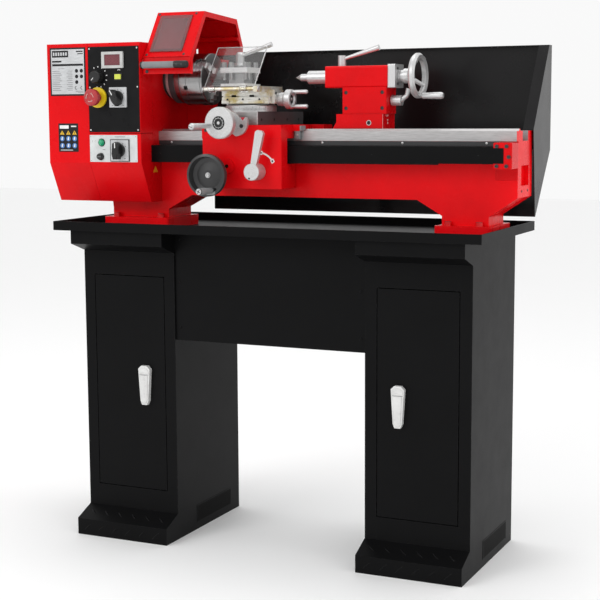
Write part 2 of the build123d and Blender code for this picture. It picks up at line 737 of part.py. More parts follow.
def control_panels():
    """Upper panel with the running controls, and lower panel with the mains switch."""
    upper = panel_plate(
        (HEAD_X[0] + 1, HEAD_X[1] - 2),
        (BOX_SPLIT + 2, 1204.0),
        ((SPEED_KNOB, 4 + FIT), (ESTOP, 11 + FIT), (DIRECTION_SWITCH, 4 + FIT)),
    )
    button_x, button_z = PANEL_BUTTON
    upper -= block(
        (button_x - 8.7, button_x + 8.7),
        (PANEL_FRONT - 3, PANEL_FRONT + 1),
        (button_z - 6.2, button_z + 6.2),
    )
    lower = panel_plate(
        (HEAD_X[0] + 1, HEAD_X[1] - 10),
        (BOX_CREASE + 3, 993.0),
        ((POWER_SWITCH, 4 + FIT), (POWER_LAMP, 6), (FUSE, 6)),
    )
    return group(upper, lower)


def panel_indicators():
    """Speed display, mains lamp and fuse holder."""
    front = PANEL_FRONT - PANEL_THICKNESS
    x, z = DISPLAY
    display = rounded_block((x - 30, x + 30), (front - 5, front), (z - 19.5, z + 19.5), 2, Axis.Y)
    display -= block((x - 22, x + 22), (front - 6, front - 3), (z - 13, z + 13))
    stem = [(5.9, front), (5.9, front + 14), (0, front + 14)]
    lamp = turned_y([(0, front - 8), (5, front - 7), (8, front - 3), (8, front), *stem], *POWER_LAMP)
    fuse = turned_y([(0, front - 9), (7, front - 9), (8, front - 6), (9, front), *stem], *FUSE)
    return group(display, lamp, fuse)


def panel_button():
    """Square push button that travels into the upper panel."""
    x, z = PANEL_BUTTON
    front = PANEL_FRONT - PANEL_THICKNESS
    return rounded_block((x - 8.4, x + 8.4), (front - 4, front + 8), (z - 5.9, z + 5.9), 1, Axis.Y)


def control_bezels():
    """Emergency-stop collar and the two square switch plates."""
    front = PANEL_FRONT - PANEL_THICKNESS
    collar = bar_y(ESTOP[0], (front - 4, front), ESTOP[1], 24.5)
    collar -= bar_y(ESTOP[0], (front - 5, front + 1), ESTOP[1], 11 + FIT)
    plates = []
    for (x, z), half in ((DIRECTION_SWITCH, 24), (POWER_SWITCH, 25)):
        plate = rounded_block((x - half, x + half), (front - 3, front), (z - half, z + half), 1.5, Axis.Y)
        plates.append(plate - bar_y(x, (front - 4, front + 1), z, 4 + FIT))
    return group(collar, *plates)


def estop_button():
    front = PANEL_FRONT - PANEL_THICKNESS
    profile = [
        (0, front - 38),
        (16, front - 37),
        (20, front - 33),
        (20, front - 22),
        (14, front - 12),
        (11, front - 12),
        (11, front + 6),
        (0, front + 6),
    ]
    return turned_y(profile, *ESTOP)


def speed_knob():
    """Tapered potentiometer knob on its shaft."""
    front = PANEL_FRONT - PANEL_THICKNESS
    profile = [(0, front - 19), (13, front - 19), (14.5, front - 17), (16.5, front - 1), (0, front - 1)]
    return turned_y(profile, *SPEED_KNOB) + bar_y(SPEED_KNOB[0], (front - 2, front + 8), SPEED_KNOB[1], 4)


def switch_knob(centre, pointing_deg):
    """Rotary switch handle: a round skirt with a tapered grip across it."""
    front = PANEL_FRONT - PANEL_THICKNESS - 3
    x, z = centre
    skirt = bar_y(x, (front - 7, front - 0.5), z, 16)
    outline = [(-6, -21), (6, -21), (9, -8), (7, 17), (0, 21), (-7, 17), (-9, -8)]
    grip = prism_y(outline, (front - 22, front - 6))
    grip = Pos(x, 0, z) * Rot(0, pointing_deg, 0) * grip
    return skirt + grip + bar_y(x, (front - 2, front + 11), z, 4)


def motor_housing():
    """Red sheet housing behind the headstock, with the guard's hinge block and the cover's pin."""
    x, y, z = HOUSING_X, HOUSING_Y, HOUSING_Z
    shell = block(x, y, z)
    shell -= block((x[0] - 1, x[1] - SHEET), (y[0] + SHEET, y[1] - SHEET), (z[0] + SHEET, z[1] - SHEET))
    pivot_y, pivot_z = GUARD_PIVOT
    lug_x = (HEAD_X[1] - 37, HEAD_X[1] - 1)
    lug_y = (pivot_y - 16, pivot_y + 16)
    lug = rounded_block(lug_x, lug_y, (z[1], pivot_z + 14), 5, Axis.X)
    lug += block(lug_x, lug_y, (z[1], z[1] + 10))
    shell += lug
    shell -= bar_x((HEAD_X[1] - 40, HEAD_X[1]), pivot_y, pivot_z, GUARD_SHAFT_RADIUS + FIT)
    pin_x, pin_y = COVER_HINGE
    for low in (862.0, 1108.0):
        shell += block((pin_x + 0.5, pin_x + 6), (y[1] - SHEET, pin_y), (low, low + 40))
        shell += bar_z(pin_x, pin_y, (low, low + 40), KNUCKLE_RADIUS)
    shell += bar_z(pin_x, pin_y, (862.0, 1148.0), COVER_PIN_RADIUS)
    return shell


# ---------------------------------------------------------------- spindle drive


def spindle():
    """Hollow spindle with the flange that carries the chuck's backplate."""
    left = COVER_LEFT + 12
    nose = BACKPLATE_X[0]
    profile = [
        (SPINDLE_BORE, left),
        (17.0, left),
        (17.0, HEAD_X[0] - 8),
        (SPINDLE_RADIUS, HEAD_X[0] - 8),
        (SPINDLE_RADIUS, HEAD_X[1] + 1),
        (38.0, HEAD_X[1] + 1),
        (38.0, nose - 10),
        (50.0, nose - 10),
        (50.0, nose),
        (SPINDLE_BORE, nose),
    ]
    return turned_x(profile, 0, AXIS_Z)


def spindle_bearings():
    """Two deep-groove bearings, each an outer ring, an inner ring's seat and a shield."""
    rings = []
    for x in ((HEAD_X[0], HEAD_X[0] + BEARING_WIDTH), (HEAD_X[1] - BEARING_WIDTH, HEAD_X[1])):
        ring = bar_x(x, 0, AXIS_Z, BEARING_RADIUS) - bar_x(x, 0, AXIS_Z, SPINDLE_RADIUS + FIT)
        groove = bar_x((x[0] - 1, x[0] + 2), 0, AXIS_Z, 35) - bar_x((x[0] - 1, x[0] + 2), 0, AXIS_Z, 26)
        rings.append(ring - groove)
    return group(*rings)


def pulley_profile(bore, radius, x):
    """Flanged flat-belt pulley; the belt runs on radius between two rims."""
    rim = radius + 6
    return [
        (bore, x[0] - 4),
        (rim, x[0] - 4),
        (rim, x[0] - 1),
        (radius, x[0] - 1),
        (radius, x[1] + 1),
        (rim, x[1] + 1),
        (rim, x[1] + 4),
        (bore, x[1] + 4),
    ]


def spindle_pulley():
    """Belt pulley and change gear keyed to the spindle's outer end."""
    pulley = turned_x(pulley_profile(17.0, SPINDLE_PULLEY_RADIUS, BELT_X), 0, AXIS_Z)
    phase = direction_deg((0, AXIS_Z), stud_centre())
    gear = gear_in_yz(SPINDLE_TEETH, GEAR_MODULE, GEAR_X, 0, AXIS_Z, 17.0, phase)
    return group(pulley, gear)


def stud_gear():
    y, z = stud_centre()
    phase = gap_phase(STUD_TEETH, direction_deg((y, z), (0, AXIS_Z)))
    return gear_in_yz(STUD_TEETH, GEAR_MODULE, GEAR_X, y, z, STUD_RADIUS + FIT, phase)


def motor():
    """Finned motor body with its mounting foot."""
    body = bar_x((-440.0, -268.0), MOTOR_Y, MOTOR_Z, 50)
    body += block((-400, -300), (HOUSING_Y[0] + SHEET, MOTOR_Y), (MOTOR_Z - 30, MOTOR_Z + 30))
    for fin in range(9):
        x = -405.0 + fin * 14
        body -= bar_x((x, x + 6), MOTOR_Y, MOTOR_Z, 51) - bar_x((x, x + 6), MOTOR_Y, MOTOR_Z, 46)
    return body - bar_x((-441, -426), MOTOR_Y, MOTOR_Z, 9 + FIT)


def motor_pulley():
    shaft = bar_x((BELT_X[0] - 4, -427.0), MOTOR_Y, MOTOR_Z, 9)
    return shaft + turned_x(pulley_profile(8.0, MOTOR_PULLEY_RADIUS, BELT_X), MOTOR_Y, MOTOR_Z)


def belt_face(grow):
    """The area inside a line stretched round both pulleys, grow outside their radii."""
    dy, dz = MOTOR_Y, MOTOR_Z - AXIS_Z
    distance = math.hypot(dy, dz)
    big = SPINDLE_PULLEY_RADIUS + grow
    small = MOTOR_PULLEY_RADIUS + grow
    along = math.atan2(dz, dy)
    lean = math.acos((big - small) / distance)
    corners = []
    for sign in (1, -1):
        angle = along + sign * lean
        unit = (math.cos(angle), math.sin(angle))
        on_big = (big * unit[0], AXIS_Z + big * unit[1])
        on_small = (dy + small * unit[0], MOTOR_Z + small * unit[1])
        corners.append((on_big, on_small))
    return corners, big, small


def belt_solid(grow, x):
    corners, big, small = belt_face(grow)
    (big_a, small_a), (big_b, small_b) = corners
    web = prism_x([big_a, small_a, small_b, big_b], x)
    return web + bar_x(x, 0, AXIS_Z, big) + bar_x(x, MOTOR_Y, MOTOR_Z, small)


def drive_belt():
    return belt_solid(4.3, BELT_X) - belt_solid(0.3, (BELT_X[0] - 1, BELT_X[1] + 1))


# ---------------------------------------------------------------- chuck and guard


def about_spindle(solid, angle_deg):
    """Turns a solid built with its radial direction along +Z about the spindle axis."""
    return Pos(0, 0, AXIS_Z) * Rot(angle_deg, 0, 0) * solid


def chuck_body():
    """Scroll chuck body with jaw slots and key sockets, and its backplate."""
    body = bar_x((CHUCK_BACK, CHUCK_FACE), 0, AXIS_Z, CHUCK_RADIUS)
    body = chamfer(body.edges().filter_by(GeomType.CIRCLE), 1.5)
    body -= bar_x((CHUCK_BACK - 1, CHUCK_FACE + 1), 0, AXIS_Z, CHUCK_BORE)
    half = JAW_WIDTH / 2 + SLIDE_GAP
    for angle in JAW_ANGLES:
        slot = block((CHUCK_FACE - 24, CHUCK_FACE + 1), (-half, half), (0, CHUCK_RADIUS + 2))
        rails = block((CHUCK_FACE - 16, CHUCK_FACE - 10), (-half - 3, half + 3), (0, CHUCK_RADIUS + 2))
        socket = block((CHUCK_BACK + 14, CHUCK_BACK + 24), (-5, 5), (CHUCK_RADIUS - 16, CHUCK_RADIUS + 2))
        body -= about_spindle(slot, angle - 90)
        body -= about_spindle(rails, angle - 90)
        body -= about_spindle(socket, angle - 30)
    plate = bar_x(BACKPLATE_X, 0, AXIS_Z, 56) - bar_x((-304, -271), 0, AXIS_Z, CHUCK_BORE)
    return group(body, plate)


def chuck_jaw(angle):
    """Stepped jaw with side rails; its inner end is a 120-degree wedge."""
    half = JAW_WIDTH / 2
    wedge = half / math.tan(math.radians(60))
    x = (CHUCK_FACE - 23.5, CHUCK_FACE + 20)

    def slab(span, inner, outer, width=half):
        shoulder = inner + wedge
        outline = [(0, inner), (width, shoulder), (width, outer), (-width, outer), (-width, shoulder)]
        return prism_x(outline, span)

    jaw = slab((x[0], CHUCK_FACE + 1), 16, 54)
    jaw += slab((CHUCK_FACE + 0.5, CHUCK_FACE + 8), 16, 50)
    jaw += slab((CHUCK_FACE + 7.5, CHUCK_FACE + 14), 16, 40)
    jaw += slab((CHUCK_FACE + 13.5, x[1]), 16, 29)
    jaw += block((CHUCK_FACE - 15.7, CHUCK_FACE - 10.3), (-half - 2.7, half + 2.7), (26, 54))
    return about_spindle(jaw, angle - 90)


def offset_outline(points, distance):
    """Moves each point of an open outline inward, square to the line that leaves it."""
    moved = []
    for index, (y, z) in enumerate(points):
        ahead = points[min(index + 1, len(points) - 1)]
        behind = points[max(index - 1, 0)]
        dy, dz = ahead[0] - behind[0], ahead[1] - behind[1]
        length = math.hypot(dy, dz)
        moved.append((y + dz / length * distance, z - dy / length * distance))
    return moved


def chuck_guard():
    """Bent sheet hood with side frames, window opening, hinge shaft and lifting handle."""
    outer = list(GUARD_OUTLINE)
    inner = offset_outline(outer, SHEET)
    hood = prism_x(outer + inner[::-1], GUARD_X)
    left_wall = offset_outline(outer, SHEET / 2)[1:]
    hood += prism_x(left_wall, (GUARD_X[0], GUARD_X[0] + SHEET))
    rim = offset_outline(outer, SHEET / 2) + offset_outline(outer, 14)[::-1]
    hood += prism_x(rim, (GUARD_X[1] - SHEET, GUARD_X[1]))
    opening = window_outline(-8)
    opening = offset_outline(opening, -12) + offset_outline(opening, 12)[::-1]
    hood -= prism_x(opening, (WINDOW_X[0] + 8, WINDOW_X[1] - 8))
    pivot_y, pivot_z = GUARD_PIVOT
    hood += bar_x((HEAD_X[1] - 40, GUARD_X[1] - 1), pivot_y, pivot_z, GUARD_SHAFT_RADIUS)
    handle_y, handle_z = -157.0, 1158.0
    hood += bar_x((GUARD_X[0] + 9, GUARD_X[1] - 18), handle_y, handle_z, 8)
    for x in (GUARD_X[0] + 22, GUARD_X[1] - 32):
        hood += bar_y(x, (handle_y, -137.5), handle_z, 5)
    return hood


def window_outline(grow):
    """Two (y, z) points on the hood's sloping face: the window's lower and upper edges."""
    (low_y, low_z), (high_y, high_z) = GUARD_OUTLINE[1], GUARD_OUTLINE[2]
    length = math.hypot(high_y - low_y, high_z - low_z)
    unit = ((high_y - low_y) / length, (high_z - low_z) / length)
    start, end = 14 - grow, length - 12 + grow
    return [(low_y + unit[0] * run, low_z + unit[1] * run) for run in (start, end)]


def chuck_guard_window():
    """Clear window screwed on the outside of the hood."""
    inner = window_outline(0)
    return prism_x(inner + offset_outline(inner, -3)[::-1], WINDOW_X)


# ---------------------------------------------------------------- carriage


def saddle():
    """Saddle casting with way keeper, cross dovetail and the cross screw's flange."""
    x = SADDLE_X
    low = BED_TOP + SLIDE_GAP
    casting = block(x, (-WAY_Y - 14, 80), (low, SADDLE_TOP))
    casting += block((x[0] - 20, 60), (-WAY_Y - 12, -30), (low, SADDLE_TOP))
    casting += block((x[0] - 20, 74), (28, 80), (low, SADDLE_TOP))
    casting += block(x, (APRON_FRONT, -WAY_Y - 1), (SADDLE_BOTTOM, SADDLE_TOP))
    casting += block(x, (WAY_Y + 1, 80), (968, SADDLE_TOP))
    keeper_top = BED_TOP - WAY_DEPTH - SLIDE_GAP
    casting += block(x, (WALL_Y[1] + 1, 80), (968, keeper_top))
    dovetail = [
        (-108, SADDLE_TOP - 1),
        (-68, SADDLE_TOP - 1),
        (-68, SADDLE_TOP),
        (-60, CROSS_DOVETAIL_TOP),
        (-116, CROSS_DOVETAIL_TOP),
        (-108, SADDLE_TOP),
    ]
    casting += prism_y(dovetail, (-110, 80))
    vee = [
        (VEE_Y - VEE_HALF - 1, low - 1),
        (VEE_Y + VEE_HALF + 1, low - 1),
        (VEE_Y + 2, BED_TOP + VEE_HEIGHT + 1),
        (VEE_Y - 2, BED_TOP + VEE_HEIGHT + 1),
    ]
    casting -= prism_x(vee, (x[0] - 30, x[1] + 60))
    casting -= block((CROSS_SCREW_X - 9, CROSS_SCREW_X + 9), (-130, 90), (1011.5, 1030))
    casting -= bar_y(CROSS_SCREW_X, (APRON_FRONT - 1, -129), CROSS_SCREW_Z - 8, 5)
    flange = bar_y(CROSS_SCREW_X, (APRON_FRONT - 9, APRON_FRONT), CROSS_SCREW_Z, 26)
    plate_x = (CROSS_SCREW_X - 20, CROSS_SCREW_X + 20)
    flange += block(plate_x, (APRON_FRONT, -136.5), (SADDLE_TOP, CROSS_SCREW_Z + 14))
    flange -= bar_y(CROSS_SCREW_X, (APRON_FRONT - 10, -129), CROSS_SCREW_Z, CROSS_SCREW_RADIUS + FIT)
    casting -= bar_y(CROSS_SCREW_X, (APRON_FRONT - 1, -129), CROSS_SCREW_Z, CROSS_SCREW_RADIUS + 1)
    return group(casting, flange)


def apron():
    """Apron casting, open to the bed, notched for the leadscrew cover, with its bearing bosses."""
    x = SADDLE_X
    inside = (x[0] + 8, x[1] - 8)
    notch = COVER_Y[0] - 4
    rear = -WALL_Y[1] - 2
    casting = rounded_block(x, (APRON_FRONT, rear), (APRON_BOTTOM, SADDLE_BOTTOM), 4, Axis.Z)
    casting -= block((x[0] - 1, x[1] + 1), (notch, rear + 1), (926, SADDLE_BOTTOM + 1))
    casting -= block(inside, (-131, notch - 8), (APRON_BOTTOM + 8, 968))
    casting -= block(inside, (notch, rear + 1), (APRON_BOTTOM + 2.5, 918))
    casting -= block((inside[0], -42), (-70, rear + 1), (APRON_BOTTOM + 2.5, 927))
    lever_x, lever_z = HALF_NUT_LEVER
    casting -= block((lever_x - 22, lever_x + 16), (-95, -68), (917, 927))
    wheel_x, wheel_z = APRON_WHEEL
    casting += bar_y(RACK_SHAFT_X, (APRON_FRONT - 6, APRON_FRONT + 5), rack_shaft_z(), 17)
    casting += bar_y(wheel_x, (APRON_FRONT - 18, APRON_FRONT + 5), wheel_z, 20)
    casting -= bar_y(RACK_SHAFT_X, (APRON_FRONT + 3, rear + 1), rack_shaft_z(), 5 + FIT)
    casting -= bar_y(wheel_x, (APRON_FRONT - 19, notch - 7), wheel_z, 8 + FIT)
    return casting - bar_y(lever_x, (APRON_FRONT - 1, notch + 1), lever_z, 8 + FIT)


def rack_shaft_z():
    return RACK_TIP_Z + RACK_MODULE - RACK_GEAR_TEETH * RACK_MODULE / 2


def rack_gear():
    """Shaft in the apron with the gear driven by the handwheel and the gear that climbs the rack."""
    z = rack_shaft_z()
    shaft = bar_y(RACK_SHAFT_X, (APRON_FRONT + 4, RACK_Y[0] + 1), z, 5)
    climbing = gear_in_xz(RACK_GEAR_TEETH, RACK_MODULE, (RACK_Y[0], RACK_Y[1] - 2), RACK_SHAFT_X, z, 90)
    centre = (RACK_SHAFT_X, z)
    phase = gap_phase(APRON_GEAR_TEETH, direction_deg(centre, APRON_WHEEL))
    driven = gear_in_xz(APRON_GEAR_TEETH, apron_module(), (-126, -118), *centre, phase)
    return shaft + climbing + driven


def apron_module():
    """Module that fills the distance between the handwheel and the rack shaft."""
    distance = math.dist(APRON_WHEEL, (RACK_SHAFT_X, rack_shaft_z()))
    return 2 * distance / (APRON_PINION_TEETH + APRON_GEAR_TEETH)


def apron_handwheel():
    """Dished handwheel with its crank handle, shaft and pinion."""
    x, z = APRON_WHEEL
    rear = APRON_FRONT - 18.5
    radius = APRON_WHEEL_RADIUS
    profile = [
        (0, rear),
        (18, rear),
        (20, rear - 8),
        (radius - 4, rear - 18),
        (radius, rear - 24),
        (radius, rear - 36),
        (radius - 6, rear - 38),
        (radius - 9, rear - 22),
        (22, rear - 16),
        (12, rear - 24),
        (0, rear - 24),
    ]
    wheel = turned_y(profile, x, z)
    angle = math.radians(-68)
    grip_x = x + (radius - 12) * math.cos(angle)
    grip_z = z + (radius - 12) * math.sin(angle)
    handle = [(0, 96), (7, 96), (8.5, 88), (6.5, 40), (6, 18), (0, 18)]
    wheel += turned_y([(across, rear - along) for across, along in handle], grip_x, grip_z)
    wheel += bar_y(x, (rear - 2, -116), z, 8)
    phase = direction_deg(APRON_WHEEL, (RACK_SHAFT_X, rack_shaft_z()))
    neck = bar_y(x, (-127, -116), z, 8) - bar_y(x, (-127, -116), z, 4)
    pinion = gear_in_xz(APRON_PINION_TEETH, apron_module(), (-126.5, -117), x, z, phase)
    return wheel - neck + pinion


def half_nut_lever():
    """Round hub with a tapered lever, and the shaft with an eccentric under the half nut."""
    x, z = HALF_NUT_LEVER
    hub = bar_y(x, (APRON_FRONT - 38, APRON_FRONT - 0.5), z, 19.5)
    hub = chamfer(hub.edges().filter_by(GeomType.CIRCLE), 1)
    arm = [(-7, 12), (7, 12), (10.5, 92), (6, 97), (-6, 97), (-10.5, 92)]
    lever = Pos(x, 0, z) * Rot(0, 12, 0) * prism_y(arm, (APRON_FRONT - 34, APRON_FRONT - 24))
    shaft = bar_y(x, (APRON_FRONT - 2, -93), z, 8)
    cam = bar_y(x - CAM_OFFSET, (-94, -73), z, 10)
    return hub + lever + shaft + cam


def half_nut():
    """Lower half nut, dropped clear of the leadscrew."""
    x = (HALF_NUT_LEVER[0] - 24, HALF_NUT_LEVER[0] + 20)
    nut = block(x, (-94, -69), (927, SCREW_Z - 6))
    nut -= bar_x((x[0] - 1, x[1] + 1), SCREW_Y, SCREW_Z - 6, SCREW_RADIUS + SLIDE_GAP)
    foot_x = HALF_NUT_LEVER[0] - CAM_OFFSET
    return nut + block((foot_x - 9, foot_x + 9), (-90, -74), (HALF_NUT_LEVER[1] + 10.3, 928))


def cross_slide():
    """Cross slide with its dovetail slot, and the nut that runs on the cross screw."""
    gap = SLIDE_GAP
    slide = block(CROSS_X, CROSS_Y, (SADDLE_TOP + gap, CROSS_TOP))
    slot = [
        (-108 - gap, SADDLE_TOP),
        (-68 + gap, SADDLE_TOP),
        (-60 + 2 * gap, CROSS_DOVETAIL_TOP + gap),
        (-116 - 2 * gap, CROSS_DOVETAIL_TOP + gap),
    ]
    slide -= prism_y(slot, (CROSS_Y[0] - 1, CROSS_Y[1] + 1))
    nut = block((CROSS_SCREW_X - 8, CROSS_SCREW_X + 8), (0, 26), (1013.5, CROSS_DOVETAIL_TOP + gap))
    slide += nut
    return slide - bar_y(CROSS_SCREW_X, (-1, 27), CROSS_SCREW_Z, CROSS_SCREW_RADIUS + FIT)


def cross_slide_handwheel():
    """Cross screw with its dial, handwheel and swept crank handle."""
    x, z = CROSS_SCREW_X, CROSS_SCREW_Z
    rear = APRON_FRONT - 9.5
    radius = CROSS_WHEEL_RADIUS
    profile = [
        (0, rear),
        (18, rear),
        (18, rear - 24),
        (24, rear - 26),
        (radius - 2, rear - 34),
        (radius, rear - 36),
        (radius, rear - 50),
        (radius - 2, rear - 52),
        (14, rear - 52),
        (14, rear - 49),
        (0, rear - 49),
    ]
    wheel = turned_y(profile, x, z)
    start = (x - 23, rear - 50, z - 6)
    end = (x - 34, rear - 112, z - 8)
    wheel += rod_between(start, end, 5.5, 8)
    return wheel + bar_y(x, (rear - 1, 70), z, CROSS_SCREW_RADIUS)


def top_dovetail(gap):
    """(y, z) outline of the compound's dovetail, grown by gap."""
    y = SWIVEL[1]
    top = 1082 + gap
    return [
        (y - 20 - gap, SWIVEL_TOP - 1),
        (y + 20 + gap, SWIVEL_TOP - 1),
        (y + 20 + gap, SWIVEL_TOP),
        (y + 28 + 2 * gap, top),
        (y - 28 - 2 * gap, top),
        (y - 20 - gap, SWIVEL_TOP),
    ]


def swivel_base():
    """Graduated swivel disc with the compound's dovetail and the nut in it."""
    x, y = SWIVEL
    base = bar_z(x, y, (CROSS_TOP + SLIDE_GAP, SWIVEL_TOP), SWIVEL_RADIUS)
    base = chamfer(base.edges().filter_by(GeomType.CIRCLE).group_by(Axis.Z)[-1], 2)
    base += prism_x(top_dovetail(0), (TOP_SLIDE_X[0] + 4, TOP_SLIDE_X[1] - 12))
    base -= block((TOP_SLIDE_X[0], -76 - 25), (y - 8, y + 8), (1069, 1083))
    base -= block((-76, TOP_SLIDE_X[1]), (y - 8, y + 8), (1069, 1083))
    return base - bar_x((TOP_SLIDE_X[0], TOP_SLIDE_X[1]), y, TOP_SCREW_Z, 5 + FIT)


def compound_slide():
    """Top slide with its screw plate, the tool post's stud and the tool guard's arm and rod."""
    y = SWIVEL[1]
    half = TOP_SLIDE_WIDTH / 2
    slide = block(TOP_SLIDE_X, (y - half, y + half), (SWIVEL_TOP + 4, TOP_SLIDE_TOP))
    slide -= prism_x(top_dovetail(SLIDE_GAP), (TOP_SLIDE_X[0] - 1, TOP_SLIDE_X[1] + 1))
    step = (TOP_SLIDE_X[0] - 1, TOP_SLIDE_X[1] + 1)
    for edge in ((y - half - 1, y - half + 5), (y + half - 5, y + half + 1)):
        slide -= block(step, edge, (SWIVEL_TOP + 20, SWIVEL_TOP + 22.5))
    plate_x = (TOP_SLIDE_X[1], TOP_SLIDE_X[1] + 9)
    slide += block(plate_x, (y - 24, y + 24), (SWIVEL_TOP + 4, 1098))
    slide -= bar_x((TOP_SLIDE_X[1] - 1, TOP_SLIDE_X[1] + 10), y, TOP_SCREW_Z, 5 + FIT)
    slide += bar_z(*POST, (TOP_SLIDE_TOP - 2, 1160), POST_STUD_RADIUS)
    pivot_y, pivot_z = TOOL_GUARD_PIVOT
    arm_x = (TOOL_GUARD_X[1] + 2, TOOL_GUARD_X[1] + 12)
    slide += block(arm_x, (pivot_y - 7, y - half + 1), (pivot_z - 7, pivot_z + 6))
    slide += bar_x((TOOL_GUARD_X[0] + 1, arm_x[1]), pivot_y, pivot_z, 4.5)
    return slide


def compound_handwheel():
    """Compound screw with its dial, small handwheel and two pin handles."""
    y, z = SWIVEL[1], TOP_SCREW_Z
    left = TOP_SLIDE_X[1] + 9.5
    profile = [
        (0, left),
        (16, left),
        (16, left + 16),
        (18, left + 17),
        (23, left + 22),
        (23, left + 34),
        (21, left + 36),
        (14, left + 36),
        (11, left + 32),
        (0, left + 32),
    ]
    wheel = turned_x(profile, y, z)
    pin = [(0, 30), (3.5, 30), (4.5, 44), (5, 72), (3, 75), (0, 75)]
    for side in (-1, 1):
        wheel += turned_x([(radius, left + along) for radius, along in pin], y, z + side * 17)
    return wheel + bar_x((TOP_SLIDE_X[0] + 10, left + 2), y, z, 5)


def tool_post():
    """Four-way tool post with its eight clamping screws."""
    x, y = POST
    span = (x - POST_HALF, x + POST_HALF)
    depth = (y - POST_HALF, y + POST_HALF)
    low = TOP_SLIDE_TOP + SLIDE_GAP
    body = rounded_block(span, depth, (low, 1113), 2)
    body += rounded_block((x - 21, x + 21), (y - 21, y + 21), (1112, 1140), 2)
    body += rounded_block(span, depth, (1139, 1151), 2)
    body -= bar_z(x, y, (low - 1, 1152), POST_STUD_RADIUS + FIT)
    screws = []
    for dx, dy in POST_SCREWS:
        shank = bar_z(x + dx, y + dy, (1122, 1153), 3.5)
        body -= bar_z(x + dx, y + dy, (1138, 1152), 3.5)
        head = block((x + dx - 4, x + dx + 4), (y + dy - 4, y + dy + 4), (1152, 1164))
        screws.append(shank + head)
    return group(body, *screws)


def tool_post_lever():
    """Clamp handle on the tool post's stud."""
    x, y = POST
    bore = POST_STUD_RADIUS + FIT
    profile = [
        (bore, 1151.5),
        (13, 1151.5),
        (13, 1158),
        (10.5, 1162),
        (10.5, 1183),
        (7, 1188),
        (0, 1188),
        (0, 1162),
        (bore, 1162),
    ]
    hub = Pos(x, y, 0) * turned(profile)
    return hub + rod_between((x + 4, y, 1179), (x + 84, y, 1206), 4, 6)


def tool_guard():
    """Clear guard that leans back over the tool post from its hinge rod."""
    pivot_y, pivot_z = TOOL_GUARD_PIVOT
    lean = math.radians(53)
    along = (math.cos(lean), math.sin(lean))
    across = (-along[1], along[0])
    reach, half = 124.0, 1.5
    outline = []
    for run, side in ((6.5, -half), (reach, -half), (reach, half), (6.5, half)):
        y = pivot_y + along[0] * run + across[0] * side
        z = pivot_z + along[1] * run + across[1] * side
        outline.append((y, z))
    sheet = prism_x(outline, TOOL_GUARD_X)
    low_x, high_x = TOOL_GUARD_X
    for x in ((low_x + 14, low_x + 30), (high_x - 34, high_x - 18)):
        sheet += bar_x(x, pivot_y, pivot_z, 7.5) - bar_x(x, pivot_y, pivot_z, 4.5 + FIT)
    return sheet


# ---------------------------------------------------------------- tailstock


def tailstock_body():
    """Base, body and barrel castings, with the bed clamp hung between the ways."""
    low = BED_TOP + SLIDE_GAP
    base = [(123.5, low), (251, low), (251, 1040.3), (135.5, 1040.3), (135.5, 1022)]
    foot = prism_y(base, (-38.5, 38.5))
    foot -= block((120, 255), (-54, -37), (low - 1, BED_TOP + VEE_HEIGHT + 1))
    foot -= bar_y(217, (-39, -34), 1020, 6)
    body = rounded_block((147.4, 257.6), (-32, 32), (1040.6, 1102), 3)
    for x in (157, 247):
        for z in (1053.5, 1089.5):
            body -= bar_y(x, (-33, -28), z, 4.5)
    barrel = rounded_block(TAIL_BARREL_X, (-TAIL_BARREL_Y, TAIL_BARREL_Y), TAIL_BARREL_Z, 5, Axis.X)
    casting = body + barrel
    casting -= bar_x((TAIL_BARREL_X[0] - 1, TAIL_BARREL_X[1] + 1), 0, AXIS_Z, QUILL_RADIUS + FIT)
    casting -= bar_z(134.0, 0, (1140, 1152), 5 + FIT)
    casting -= bar_x((240, 259), 0, 1071, 6 + FIT)
    bolt = bar_z(195, 0, (955, low), 6)
    clamp_plate = block((160, 230), (-34, 34), (950, 962))
    return group(foot, casting, bolt + clamp_plate)


def tailstock_end_cap():
    """Thrust plate at the back of the barrel."""
    x = (TAIL_BARREL_X[1], TAIL_BARREL_X[1] + 18)
    cap = rounded_block(x, (-28, 28), (AXIS_Z - 27, AXIS_Z + 27), 3, Axis.X)
    return cap - bar_x((x[0] - 1, x[1] + 1), 0, AXIS_Z, TAIL_SCREW_RADIUS + FIT)


def tailstock_quill():
    """Hollow quill with a dead centre in its taper."""
    quill = bar_x(QUILL_X, 0, AXIS_Z, QUILL_RADIUS)
    quill -= bar_x((110, QUILL_X[1] + 1), 0, AXIS_Z, TAIL_SCREW_RADIUS + FIT)
    quill -= bar_x((QUILL_X[0] - 1, 100), 0, AXIS_Z, 8.5)
    quill = chamfer(quill.edges().filter_by(GeomType.CIRCLE).group_by(Axis.X)[0], 1)
    profile = [(0, CENTRE_TIP), (8.5, CENTRE_TIP + 15), (8.5, 98), (0, 98)]
    return group(quill, turned_x(profile, 0, AXIS_Z))


